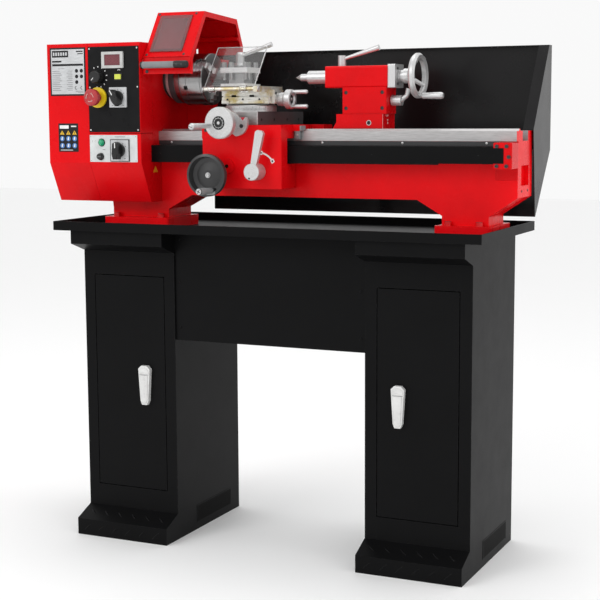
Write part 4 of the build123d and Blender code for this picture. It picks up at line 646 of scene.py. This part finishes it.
def dress_switches():
    plate_y = PANEL_Y - 3
    prints = []
    for centre, angle, name in SWITCHES:
        prints += tick_ring(centre, 19, (-60, -30, 0, 30, 60), (0.9, 2.6), plate_y)
        x, z = centre
        prints.append(flat((x - 17, x - 12), (z - 19.5, z - 18.6), plate_y, 0.2))
        prints.append(flat((x + 12, x + 17), (z - 19.5, z - 18.6), plate_y, 0.2))
        grip_y = plate_y - 22
        pointer = flat((x - 1.2, x + 1.2), (z + 6, z + 19), grip_y)
        body = f"{name}_knob"
        piece(f"{name}_knob_pointer", "white_print", body, [turned_about(pointer, centre, angle)])
        outline = ((x - 4, z - 19), (x + 4, z - 19), (x + 6, z - 8), (x - 6, z - 8))
        rest = turned_about(prism(1, outline, grip_y - 1.0, grip_y), centre, angle)
        piece(f"{name}_knob_thumb_rest", "black_plastic", body, [rest], 0.5)
    x, z = SWITCHES[1][0]
    rails = []
    for side in (-26.6, 25):
        rails.append(flat((x + side, x + side + 1.6), about(z, 25), PANEL_Y, 3.2))
    for side in (-26.6, 25):
        rails.append(flat(about(x, 26.6), (z + side, z + side + 1.6), PANEL_Y, 3.2))
    piece("power_switch_frame", "black_plastic", "machine_frame", rails, 0.3)
    piece("switch_plate_marks", "dark_print", "machine_frame", prints)


def dress_estop():
    face = PANEL_Y - 38
    arrows = []
    for start in (20, 140, 260):
        arrows += arc_band(ESTOP, (9.0, 10.8), (start, start + 70), (face - 0.2, face + 0.3), 8)
        x, z = ESTOP
        tip = ((x - 2.2, z + 9.9), (x + 2.6, z + 12.8), (x + 2.6, z + 7.0))
        arrows.append(turned_about(prism(1, tip, face - 0.2, face + 0.3), ESTOP, start))
    piece("estop_arrows", "pale_print", "estop_button", arrows)


def dress_lower_panel():
    bars = (((-398, -368), (988, 989.4)), ((-440, -430), (990.2, 991.2)), ((-433, -425), (957, 958.4)))
    prints = [flat(x, z, PANEL_Y, 0.15) for x, z in bars]
    for start in (-462, -455):
        prints += arc_band((start + 3, 978), (2.0, 2.7), (200, 340), (PANEL_Y - 0.15, PANEL_Y), 8)
    for x in (-466, -339):
        prints += [disc((x, PANEL_Y, z), FRONT, 1.0, 0.3, 0.1) for z in (931, 989)]
    piece("lower_panel_print", "grey_print", "machine_frame", prints)
    # A grey bar on the fuse cap: painted shade in its slot.
    slot_shade = box((-442.5, -433.5), (PANEL_Y - 9.6, PANEL_Y - 8.8), (940.2, 941.8))
    piece("fuse_slot_shade", "grey_print", "machine_frame", [slot_shade])
    rim = arc_band((-435, 975), (8.0, 9.6), (0, 360), (PANEL_Y - 1.2, PANEL_Y), 32)
    piece("lamp_rim", "dark_print", "machine_frame", rim)


def dress_spec_plate():
    """Rating plate on the end cover: border, sheet, and generic bars for its print."""
    border = box((-580, -477), (COVER_Y - 0.5, COVER_Y), (1088, 1204))
    piece("plate_border", "dark_print", "end_cover", [border])
    face = COVER_Y - 0.9
    sheet = box((-576, -481), (face, COVER_Y - 0.4), (1092, 1200))
    piece("plate_sheet", "plate_metal", "end_cover", [sheet])
    dark = [flat((-573, -526), (1181, 1197), face)]
    dark += [flat((-573, -546), (1169, 1173), face), flat((-573, -484), (1160, 1165), face)]
    dark += [flat((-503, -484), (1193, 1196), face), flat((-499, -484), (1188, 1190), face)]
    for row, z in enumerate((1148, 1134.5, 1121)):
        for x in (-503, -489)[: 1 if row == 2 else 2]:
            dark.append(disc((x, face, z), FRONT, 4.6, 0.3, 0.1))
    dark += arc_band((-504, 1107), (3.2, 4.4), (180, 360), (face - 0.3, face), 10)
    dark += arc_band((-488, 1107), (3.2, 4.4), (180, 360), (face - 0.3, face), 10)
    piece("plate_print", "dark_print", "end_cover", dark)
    lines = [flat((-556, -538), (1153, 1154), face, 0.2)]
    for row in range(11):
        z = 1147 - row * 4.6
        lines.append(flat((-573, -552 + row % 3 * 3), (z, z + 1.2), face, 0.2))
        lines.append(flat((-528 - row % 2 * 4, -515), (z, z + 1.2), face, 0.2))
    lines.append(flat((-506, -484), (1098, 1099.2), face, 0.2))
    lines.append(flat((-500, -484), (1095, 1096), face, 0.2))
    piece("plate_small_print", "grey_print", "end_cover", lines)
    bars = []
    for step in range(6):
        bars.append(flat((-570 + step * 7.2, -565.5 + step * 7.2), (1185, 1193), face - 0.3))
    piece("plate_title_bars", "plate_metal", "end_cover", bars)


def dress_safety_label():
    """Label on the end cover with triangles and discs for its signs."""
    ground = box((-560, -503), (COVER_Y - 0.5, COVER_Y), (952, 1021))
    piece("label_ground", "dark_print", "end_cover", [ground])
    face = COVER_Y - 0.5
    columns = (-549.5, -531.5, -513.5)
    triangles, discs, glyphs, marks = [], [], [], []
    for x in columns:
        triangles.append(prism(1, ((x - 6.5, 994), (x + 6.5, 994), (x, 1004)), face - 0.3, face))
        marks.append(flat((x - 0.6, x + 0.6), (995.5, 1000.5), face - 0.3))
        for z in (984, 967):
            discs.append(disc((x, face, z), FRONT, 6.3, 0.3, 0.1))
            glyphs.append(flat((x - 2.2, x + 1.6), (z - 3.2, z + 1.0), face - 0.3))
            glyphs.append(disc((x + 0.4, face - 0.3, z + 2.4), FRONT, 1.8, 0.3, 0.1))
    piece("label_triangles", "yellow_print", "end_cover", triangles)
    piece("label_discs", "blue_print", "end_cover", discs)
    glyphs.append(flat((-556, -530), (1008.5, 1016.5), face))
    glyphs.append(flat((-523, -508), (1012.5, 1015.5), face))
    glyphs.append(flat((-555, -519), (955.5, 956.8), face))
    piece("label_glyphs", "white_print", "end_cover", glyphs)
    piece("label_marks", "dark_print", "end_cover", marks)


def dress_headstock_side():
    sign = prism(0, ((-97, 902), (-75, 902), (-86, 918)), -325.1, -324.7)
    piece("side_sign", "yellow_print", "machine_frame", [sign])
    screws = [pan_screw((x, -96.2, 842), FRONT, 3.2, 1.4) for x in (-455, -340)]
    piece("headstock_screws", "dark_steel", "machine_frame", screws)
    seat = lathe(((44, 0), (44, 2.4), (41, 3.0), (41, 0)), (-325, 0, AXIS_Z), RIGHT, 48)
    piece("spindle_cover_ring", "dark_steel", "machine_frame", [seat])
    vents = []
    for row in range(7):
        z = 900 + row * 22
        outline = ((190, z), (193.5, z), (190, z + 9))
        vents.append(prism(0, outline, -440, -300))
    piece("motor_vents", "red_sheet", "machine_frame", vents, 0.5)
    bush = ((16, 2.2), (29, 2.2), (31, 0.4), (31, -0.1), (16, -0.1))
    bush = lathe(bush, (COVER_X, 0, AXIS_Z), LEFT, 48)
    piece("spindle_window_ring", "black_plastic", "end_cover", [bush])
    knobs = [disc((COVER_X, y, z), LEFT, 9, 12, 1.5) for y, z in ((-120, 1190), (-90, 850))]
    piece("cover_thumb_screws", "black_plastic", "end_cover", knobs)


dress_upper_panel()
dress_switches()
dress_estop()
dress_lower_panel()
dress_spec_plate()
dress_safety_label()
dress_headstock_side()


# ---------------------------------------------------------------- chuck guard

GUARD_FOLD = Vector((0, -137, 1177))
GUARD_RUN = Vector((0, 73, 109)).normalized()
GUARD_OUT = Vector((0, -109, 73)).normalized()
GUARD_LENGTH = math.hypot(73, 109)


def dress_guard():
    screws = []
    for x in (-316.0, -215.0):
        for run in (7.0, GUARD_LENGTH - 6):
            origin = GUARD_FOLD + GUARD_RUN * run
            screws.append(pan_screw((x, origin.y, origin.z), GUARD_OUT, 3.2, 1.6))
    piece("guard_screws", "dark_steel", "chuck_guard", screws)
    fold = lathe(((0, 0), (1.3, 0), (1.3, 128), (0, 128)), (-323, -138.2, 1177.3), RIGHT, 16)
    skirt = [box((-322.8, -195.2), (134.2, 136.9), (1189, 1209))]
    piece("guard_rear_skirt", "red_sheet", "chuck_guard", skirt)
    span = (-338, -244.5)
    strip = [box(span, (190.5, 191.9), (1110, 1197)), box(span, (172, 191.9), (1195.4, 1197))]
    piece("splash_guard_left_end", "black_guard", "machine_frame", strip)
    rings = []
    for x, width in ((-271.6, 1.8), (-252, 0.8), (-214, 0.8)):
        rings.append(ring((62.2, 62.75), width, (x, 0, AXIS_Z), RIGHT, 72))
    rings.append(ring((55.8, 57.6), 14, (-302.6, 0, AXIS_Z), RIGHT, 72))
    piece("chuck_rings", "dark_steel", "spindle", rings)
    cap = lathe(((0, 0), (8.6, 0), (8.6, 4), (0, 4)), (-316.5, -157, 1158), RIGHT)
    piece("handle_end_cap", "black_plastic", "chuck_guard", [cap])
    bolts = [pan_screw((-312, -140, 1143), FRONT, 4.2, 2.2)]
    piece("guard_handle_bolt", "dark_steel", "chuck_guard", bolts)
    piece("guard_fold", "red_sheet", "chuck_guard", [fold])
    sleeve = lathe(((0, 0), (8.8, 0), (8.8, 31), (7.6, 33), (0, 33)), (-226, -157, 1158), RIGHT)
    piece("handle_sleeve", "black_plastic", "chuck_guard", [sleeve])
    dots = [cap_screw((x, -165.7, 1158), FRONT, 2.6, 0.8) for x in (-217, -204)]
    piece("handle_sleeve_screws", "dark_steel", "chuck_guard", dots)
    collar = ring((6.1, 10), 10, (-337, 115, 1228), RIGHT)
    piece("guard_shaft_collar", "dark_steel", "chuck_guard", [collar])


dress_guard()


# ---------------------------------------------------------------- carriage


SWIVEL = (-93.0, -24.0)
SWIVEL_RADIUS = 61.0
POST = (-124.0, -18.0)
CROSS_SCREW = (-88.0, 1021.5)
APRON_WHEEL = (-127.0, 901.0)
HALF_NUT_PIVOT = (-17.4, 909.0)
APRON_FACE = -140.6
COMPOUND_FRONT = -62.0
COMPOUND_SCREW = (-24.0, 1076.0)


def dress_cross_screw():
    x, z = CROSS_SCREW
    lobes = []
    for side in (-1, 1):
        outline = []
        angles = [math.radians(step * 180 / 16) for step in range(17)]
        for offset, radius, turns in ((16, 31, angles), (0, 23, angles[-2:0:-1])):
            for angle in turns:
                across = x + side * (offset + radius * math.sin(angle))
                outline.append((across, min(1034.0, z + radius * math.cos(angle))))
        lobes.append(prism(1, outline, -149.0, -140.8))
    piece("cross_screw_bracket", "satin_wheel", "carriage", lobes)
    screws = [cap_screw((side, -149.0, 1014), FRONT, 4.6, 2.0) for side in (x - 32, x + 32)]
    piece("bracket_screws", "dark_steel", "carriage", screws)
    mark = prism(1, ((-58.5, 1034.0), (-46.5, 1034.0), (-52.5, 1026.5)), -149.4, -148.9)
    piece("dial_index", "red_print", "carriage", [mark])
    front = -202.1
    cap = ((0, 3.6), (15.2, 3.6), (16, 2.8), (16, 0), (0, 0))
    centre = [lathe(cap, (x, front + 3.0, z), FRONT, 40)]
    piece("cross_wheel_cap", "black_plastic", "cross_slide_handwheel", centre)
    nut = [pan_screw((x, front - 0.6, z), FRONT, 3.6, 1.6)]
    nut += arc_band((x, z), (10.6, 11.4), (0, 360), (front - 0.9, front - 0.5), 36)
    nut += tick_ring((x, z), 12.8, range(0, 360, 30), (0.7, 2.0), front - 0.6)
    piece("cross_wheel_screw", "satin_wheel", "cross_slide_handwheel", nut)
    dial = dial_marks((x, -152.5, z), FRONT, 18, 40, (5.0, 3.0), 5)
    piece("cross_dial_marks", "dark_print", "cross_slide_handwheel", dial)
    arc = [math.radians(angle) for angle in range(0, 181, 12)]
    profile = [(8.4 * math.sin(angle), -8.4 * math.cos(angle)) for angle in arc]
    ball = lathe(profile, (-122.4, -264.5, 1013.4), FRONT, 24)
    piece("cross_handle_ball", "satin_wheel", "cross_slide_handwheel", [ball])
    # A dark bar across the handle ball: painted shade in its screw slot.
    slot_shade = box((-127, -117.8), (-273.2, -272.2), (1012.8, 1014.0))
    slot_shade = turned_about(slot_shade, (-122.4, 1013.4), 20)
    piece("cross_handle_slot_shade", "dark_print", "cross_slide_handwheel", [slot_shade])


def dress_apron():
    x, z = APRON_WHEEL
    face = -183.1
    nut = [lathe(((0, 1.6), (6.4, 1.6), (6.4, -0.2), (0, -0.2)), (x, face, z), FRONT, 32)]
    hexagon = ((0, 4), (1.6, 4), (2.4, 5.4), (4.6, 5.4), (5, 5), (5, 1.5), (0, 1.5))
    nut.append(lathe(hexagon, (x, face, z), FRONT, 6))
    hollow = ((11.6, 0.1), (12.2, 0.1), (30, -5), (42.6, -5), (42.6, -7.5), (11.6, -7.5))
    dish = lathe(hollow, (x, face, z), FRONT, 56)
    piece("apron_wheel_dish", "apron_wheel", "apron_handwheel", [dish])
    piece("apron_wheel_nut", "satin_wheel", "apron_handwheel", nut)
    grip = (-112.95, -255.1, 866.23)
    cap = [lathe(((0, 1.6), (5.6, 1.6), (7, 0.6), (7, -0.3), (0, -0.3)), grip, FRONT, 28)]
    piece("apron_handle_cap", "satin_wheel", "apron_handwheel", cap)
    # A dark cross on the handle cap: painted shade in its screw's cross slot.
    cross = [box((grip[0] - 5, grip[0] + 5), (-257.1, -256.5), (grip[2] - 0.7, grip[2] + 0.7))]
    cross.append(box((grip[0] - 0.7, grip[0] + 0.7), (-257.1, -256.5), (grip[2] - 5, grip[2] + 5)))
    cross = [turned_about(bar, grip[::2], 30) for bar in cross]
    piece("apron_handle_slot_shade", "dark_print", "apron_handwheel", cross)
    # Black discs in the rack shaft's socket and in the lever hub's hole: painted shade inside them.
    hole_shades = [disc((-97, -146.7, 921), FRONT, 4.2, 0.4, 0.1)]
    hole_shades.append(disc((-22.5, -178.7, 894.5), FRONT, 2.2, 0.4, 0.1))
    piece("rack_shaft_hole_shade", "painted_recess_shade", "carriage", hole_shades[:1])
    piece("lever_hub_hole_shade", "painted_recess_shade", "half_nut_lever", hole_shades[1:])
    pivot = HALF_NUT_PIVOT
    band = arc_band(pivot, (42.0, 46.0), (14, 50), (-140.9, -140.5), 14)
    for angle in (9, 56):
        outer = flat(about(pivot[0], 4.4), about(pivot[1] + 44, 4.4), APRON_FACE)
        band.append(turned_about(outer, pivot, angle))
    piece("half_nut_scale", "white_print", "carriage", band)
    sign = flat(about(pivot[0], 2), about(pivot[1] + 44, 2), APRON_FACE - 0.3)
    signs = [turned_about(sign, pivot, angle) for angle in (9, 56)]
    piece("half_nut_scale_signs", "dark_print", "carriage", signs)
    screws = [cap_screw((side, APRON_FACE, 1004), FRONT, 3.6, 1.8) for side in (-155, -128)]
    piece("saddle_screws", "dark_steel", "carriage", screws)
    wiper = [box((49.5, 60.0), (-79.6, -68.3), (983, 1001.5))]
    wiper.append(box((60.1, 63.5), (-79.4, -52.5), (1002.4, 1014)))
    piece("way_wiper", "grey_plastic", "carriage", wiper, 0.8)
    keeper = [cap_screw((55, -79.8, 993), FRONT, 2.4, 1.2), cap_screw((-158, -100, 1016), UP, 4.0, 3.0)]
    piece("wiper_screws", "bright_steel", "carriage", keeper)


def dress_cross_slide():
    gibs = [cap_screw((-30, y, 1028.5), RIGHT, 3.4, 0.8) for y in (-96, -27, 45, 110)]
    piece("cross_gib_screws", "black_plastic", "cross_slide", gibs)
    # Satin strips on the slide's front right edge and top front edge: painted highlights on those
    # edges.
    edge = [box((-31.6, -29.8), (-117.2, -115.2), (1016.6, 1046.8))]
    edge.append(box((-146, -30.2), (-117.1, -116.2), (1045.6, 1047.0)))
    piece("cross_slide_edge_highlight", "satin_wheel", "cross_slide", edge)
    zero = box((-93.4, -92.6), (-90, -86), (1047.0, 1047.3))
    piece("swivel_zero_mark", "dark_print", "cross_slide", [zero])
    marks = []
    for step in range(-20, 21):
        angle = math.radians(step * 3 - 90)
        tall = 1058.5 if step % 5 == 0 else 1055.5
        x = SWIVEL[0] + SWIVEL_RADIUS * math.cos(angle)
        y = SWIVEL[1] + SWIVEL_RADIUS * math.sin(angle)
        centre = (x, y, 1050.5)
        marks.append(ring((0, 0.32), tall - 1050.5, centre, UP, 6))
    piece("swivel_graduations", "dark_print", "swivel_base", marks)




def dress_compound():
    front = COMPOUND_FRONT
    screws = [cap_screw((x, front, 1076), FRONT, 2.6, 0.8) for x in (-137, -96, -52)]
    screws += [cap_screw((-19, y, 1090), RIGHT, 3.2, 2.0) for y in (-42, -6)]
    piece("compound_gib_screws", "dark_steel", "compound_slide", screws)
    ledge = [box((-152, -44), (-66.5, -61.9), (1095, 1105.6))]
    ledge.append(box((-152, -40), (-65.0, -61.9), (1066.4, 1074)))
    ledge.append(box((-150, -130), (-68.5, -64.9), (1068, 1073)))
    piece("compound_gib_ledges", "oiled_steel", "compound_slide", ledge, 0.7)
    # Black patches on the gib's front: painted shade in its slots.
    slots = [box((x - 6, x + 6), (-62.5, -61.9), (1081.5, 1086.5)) for x in (-120, -72)]
    piece("compound_gib_slot_shades", "painted_recess_shade", "compound_slide", slots)
    left = -18.5
    cap = ((0, 0.6), (10, 0.6), (10.6, 0), (10.6, -0.3), (0, -0.3))
    hub = lathe(cap, (left + 32, *COMPOUND_SCREW), RIGHT, 28)
    piece("compound_wheel_cap", "black_plastic", "compound_handwheel", [hub])
    nut = [pan_screw((left + 32.4, *COMPOUND_SCREW), RIGHT, 3.8, 2.0)]
    piece("compound_wheel_screw", "satin_wheel", "compound_handwheel", nut)
    dial = dial_marks((left + 1.5, *COMPOUND_SCREW), RIGHT, 16, 36, (6.0, 3.5), 6)
    piece("compound_dial_marks", "dark_print", "compound_handwheel", dial)
    ends = [disc((-171.2, -116, 1100), LEFT, 6.2, 2.0, 0.6)]
    ends.append(disc((-28, -116, 1100), RIGHT, 6.2, 2.0, 0.6))
    piece("guard_rod_ends", "satin_wheel", "compound_slide", ends)
    washer = ring((8.2, 14.6), 1.4, (*POST, 1152.0), UP, 36)
    piece("post_washer", "dark_steel", "tool_post_lever", [washer])


def dress_tool_guard():
    """Hazy white strips along the clear tool guard's rims: a painted glint of light on its edges."""
    lean = math.radians(53)
    run = Vector((0, math.cos(lean), math.sin(lean)))
    out = Vector((0, -math.sin(lean), math.cos(lean)))
    pivot = Vector((0, -116, 1100))
    rims = []
    for x in (-171.1, -40.9):
        start, end = pivot + run * 8, pivot + run * 124
        outline = [start - out * 1.5, end - out * 1.5, end + out * 1.5, start + out * 1.5]
        rims.append(prism(0, [(corner.y, corner.z) for corner in outline], x - 0.1, x + 1.1))
    top, over = pivot + run * 123.2, pivot + run * 124.2
    outline = [top - out * 1.5, over - out * 1.5, over + out * 1.5, top + out * 1.5]
    rims.append(prism(0, [(corner.y, corner.z) for corner in outline], -171, -40))
    piece("tool_guard_rim_glints", "painted_edge_glint", "tool_guard", rims)


dress_cross_screw()
dress_apron()
dress_cross_slide()
dress_compound()
dress_tool_guard()


# ---------------------------------------------------------------- tailstock


def dress_tailstock():
    corners = [(x, z) for x in (157, 247) for z in (1053.5, 1089.5)]
    screws = [cap_screw((x, -28.2, z), FRONT, 4.2, 2.6) for x, z in corners]
    screws += [cap_screw((277, -12, AXIS_Z + side), RIGHT, 3.4, 1.6) for side in (-17.5, 17.5)]
    screws.append(cap_screw((217, -34.2, 1020), FRONT, 4.6, 3.0))
    piece("tailstock_screws", "dark_steel", "tailstock", screws)
    rim = ((4.7, 0), (4.7, 0.8), (6.0, 0.8), (6.0, 0))
    rim = lathe(rim, (217, -38.5, 1020), FRONT, 32)
    piece("adjuster_ring", "satin_wheel", "tailstock", [rim])
    scale = []
    for z in (1019.5, 1026.0):
        eyelet = ((1.3, 0), (1.3, 0.35), (2.4, 0.35), (2.4, 0))
        scale.append(lathe(eyelet, (251, -6.5, z), RIGHT, 20))
    for step in range(7):
        y = -18 + step * 2.6
        scale.append(box((251, 251.3), (y, y + 0.4), (1034, 1039 - step % 2 * 2)))
    piece("offset_scale", "white_print", "tailstock", scale)
    # A thin satin strip down the body's front right edge: a painted highlight on that edge.
    edge_highlight = box((250.9, 251.4), (-38.4, -37.2), (1002.5, 1040))
    piece("tailstock_edge_highlight", "satin_wheel", "tailstock", [edge_highlight])
    dial = dial_marks((280.5, 0, AXIS_Z), RIGHT, 14, 36, (4.0, 4.0), 1)
    piece("quill_dial_marks", "dark_print", "tailstock_handwheel", dial)
    hub = lathe(((0, 2), (7, 2), (8, 1), (8, -0.5), (0, -0.5)), (311.5, 0, AXIS_Z), RIGHT, 28)
    piece("tailstock_wheel_cap", "dark_steel", "tailstock_handwheel", [hub])


dress_tailstock()


# ---------------------------------------------------------------- bed and splash guard


def dress_bed():
    pad = [box((526.5, 576.8), (-57.6, -55.9), (893, 919))]
    piece("bed_casting_pad", "red_paint", "machine_frame", pad, 0.6)
    rack = [pan_screw((x, -66.0, 974.5), FRONT, 2.8, 1.0) for x in (-290, 112, 310, 508)]
    piece("rack_screws", "satin_wheel", "machine_frame", rack)
    lip = [box((-325, 409), (-104.4, -102.4), (927.4, 930.0))]
    lip.append(box((-325, 535), (-104.3, -103.6), (966.4, 968.2)))
    piece("cover_lower_lip", "black_stand", "machine_frame", lip)
    cap = box((535.2, 558), (-105.2, -103.9), (931.5, 965))
    piece("cover_end_cap", "black_stand", "machine_frame", [cap])
    marks = [flat((x, x + 1.4), (948, 949.4), -104, 0.4) for x in (-300, -60, 250, 500)]
    piece("cover_rivets", "dark_steel", "machine_frame", marks)
    screws = [pan_screw((572, 189.8, z), FRONT, 3.0, 1.4) for z in (1182, 1060)]
    rear = [(x, z) for x in (-150, 180, 500) for z in (1020, 1120)]
    screws += [pan_screw((x, 192.0, z), REAR, 4.0, 1.8) for x, z in rear]
    piece("splash_guard_screws", "dark_steel", "machine_frame", screws)
    caps = [pan_screw((577, y, z), RIGHT, 3.0, 1.2) for y, z in ((-24, 868), (24, 868))]
    piece("bed_end_screws", "dark_steel", "machine_frame", caps)


# ---------------------------------------------------------------- stand

TOE_FRONT = -196.0
TOE_LOW, TOE_HIGH = 41.0, 65.0
CABINET_FACE = -137.5


def lozenge(centre, along, across, out, size):
    """A raised pointed bar of a chequer plate."""
    length, width, height = size
    centre, along, across, out = (Vector(part) for part in (centre, along, across, out))
    base = []
    for u, v in ((-1, 0), (-0.4, -1), (0.4, -1), (1, 0), (0.4, 1), (-0.4, 1)):
        base.append(centre + along * (u * length / 2) + across * (v * width / 2) - out * 0.2)
    ridge = [centre + along * (u * length / 2) + out * height for u in (-0.4, 0.4)]
    faces = [[0, 1, 6], [1, 2, 7, 6], [2, 3, 7], [3, 4, 7], [4, 5, 6, 7], [5, 0, 6], [5, 4, 3, 2, 1, 0]]
    return base + ridge, faces


def chequer_plate(side):
    """Rows of crossed lozenges on the toe's slope and front."""
    slope = Vector((0, CABINET_FACE - TOE_FRONT, TOE_HIGH - TOE_LOW))
    solids = []
    for surface, origin, up in (
        ("slope", Vector((0, TOE_FRONT, TOE_LOW)), slope.normalized()),
        ("front", Vector((0, TOE_FRONT, 0)), Vector((0, 0, 1))),
    ):
        out = Vector((1, 0, 0)).cross(up)
        rows = (31.0,) if surface == "slope" else (20.0,)
        for rise in rows:
            for column in range(6):
                lean = math.radians(-42 if surface == "slope" else 42)
                along = Vector((1, 0, 0)) * math.cos(lean) + up * math.sin(lean)
                across = out.cross(along)
                x = side * 375.5 - 99 + column * 39
                centre = origin + up * rise + Vector((x, 0, 0))
                solids.append(lozenge(centre, along, across, out, (30, 5.0, 1.5)))
    return solids


def latch_face(side):
    """The raised tongue and pivot cap on a latch handle."""
    x = side * 331.5
    face = -149.0
    tongue = prism(
        1,
        ((x - 10, 407), (x + 10, 407), (x + 8, 344), (x + 4, 338), (x - 4, 338), (x - 8, 344)),
        face - 1.6,
        face + 0.1,
    )
    turns = [math.radians(angle) for angle in range(-90, 91, 15)]
    crown = [(x + 12.5 * math.sin(angle), 416 + 9.5 * math.cos(angle)) for angle in turns]
    crown += [(x + 12.5, 411.5), (x, 414.5), (x - 12.5, 411.5)]
    return tongue, prism(1, crown, face - 1.2, face + 0.1)


def dress_stand():
    opening_shades, rims = [], []
    for x in (-503, -248, 248, 503):
        # Black sheets across the openings low at the rear of the cabinet sides: painted shade of the
        # cabinets' insides.
        opening_shades.append(box((x - 0.6, x + 0.6), (-40, 140), (20, 60)))
        rims.append(box((x - 0.8, x + 0.8), (-42, 142), (60, 62)))
        rims += [box((x - 0.8, x + 0.8), (y - 1, y + 1), (18, 60)) for y in (-41, 141)]
    piece("side_opening_shades", "painted_recess_shade", "machine_frame", opening_shades)
    piece("side_opening_rims", "black_stand", "machine_frame", rims)
    for side, name in ((-1, "left"), (1, "right")):
        piece(f"chequer_plate_{name}", "black_stand", "machine_frame", chequer_plate(side))
        tongue, crown = latch_face(side)
        piece(f"latch_tongue_{name}", "light_latch", f"latch_{name}", [tongue, crown], 0.6)
        x = side * 331.5
        groove = [box((x - 12.8, x + 12.8), (-149.25, -148.9), (408.2, 409.4))]
        piece(f"latch_groove_{name}", "grey_print", f"latch_{name}", groove)
        screws = [pan_screw((side * 236, -132.5, z), FRONT, 4.0, 1.8) for z in (530, 640, 745)]
        piece(f"skirt_screws_{name}", "black_stand", "machine_frame", screws)


dress_bed()
dress_stand()


# ---------------------------------------------------------------- camera and studio


def make_camera():
    data = bpy.data.cameras.new("camera")
    data.sensor_width = 36
    data.lens = 84.33
    data.clip_end = 50
    camera = bpy.data.objects.new("camera", data)
    bpy.context.scene.collection.objects.link(camera)
    right = Vector((0.9083001, 0.41828867, -0.00505184))
    up = Vector((-0.04990198, 0.12033498, 0.99147833))
    back = Vector((0.41533206, -0.90030777, 0.13017371))
    turn = Matrix((right, up, back)).transposed()
    camera.matrix_world = Matrix.Translation((1.4385, -3.0418, 1.0376)) @ turn.to_4x4()
    bpy.context.scene.camera = camera


def area_light(name, place, target, size, power):
    data = bpy.data.lights.new(name, "AREA")
    data.shape = "RECTANGLE"
    data.size, data.size_y = size
    data.energy = power
    light = bpy.data.objects.new(name, data)
    light.location = place
    light.rotation_mode = "QUATERNION"
    light.rotation_quaternion = (Vector(target) - Vector(place)).to_track_quat("-Z", "Y")
    bpy.context.scene.collection.objects.link(light)


def floor_finish(tree):
    """Pale seamless floor with a very slight drift in tone."""
    drift = noise(tree, object_coordinates(tree), 0.8, 2.0)
    tone = mixed(tree, drift, (0.945, 0.945, 0.945, 1), (0.955, 0.955, 0.955, 1))
    gloss = ramp(tree, drift, 0.3, 0.7, 0.75, 0.8)
    return {"colour": tone, "metallic": 0.0, "roughness": gloss, "height": 0.0}


def make_studio():
    bpy.context.scene.view_settings.view_transform = "Standard"
    world = bpy.data.worlds.new("studio")
    world.use_nodes = True
    world.node_tree.nodes["Background"].inputs["Color"].default_value = (1, 1, 1, 1)
    world.node_tree.nodes["Background"].inputs["Strength"].default_value = 0.95
    bpy.context.scene.world = world
    area_light("key", (-1.8, -3.2, 2.8), (0, 0, 0.9), (1.8, 1.8), 38)
    area_light("side", (3.4, -0.8, 1.9), (0.3, 0, 0.9), (0.8, 2.4), 7)
    area_light("top", (0.2, 0.4, 3.4), (0, 0, 1.0), (2.6, 1.4), 22)
    mesh = bpy.data.meshes.new("floor")
    shape = bmesh.new()
    bmesh.ops.create_grid(shape, x_segments=1, y_segments=1, size=14)
    shape.to_mesh(mesh)
    shape.free()
    floor = bpy.data.objects.new("floor", mesh)
    bpy.context.scene.collection.objects.link(floor)
    mesh.materials.append(material("floor_paint", floor_finish))


make_camera()
make_studio()
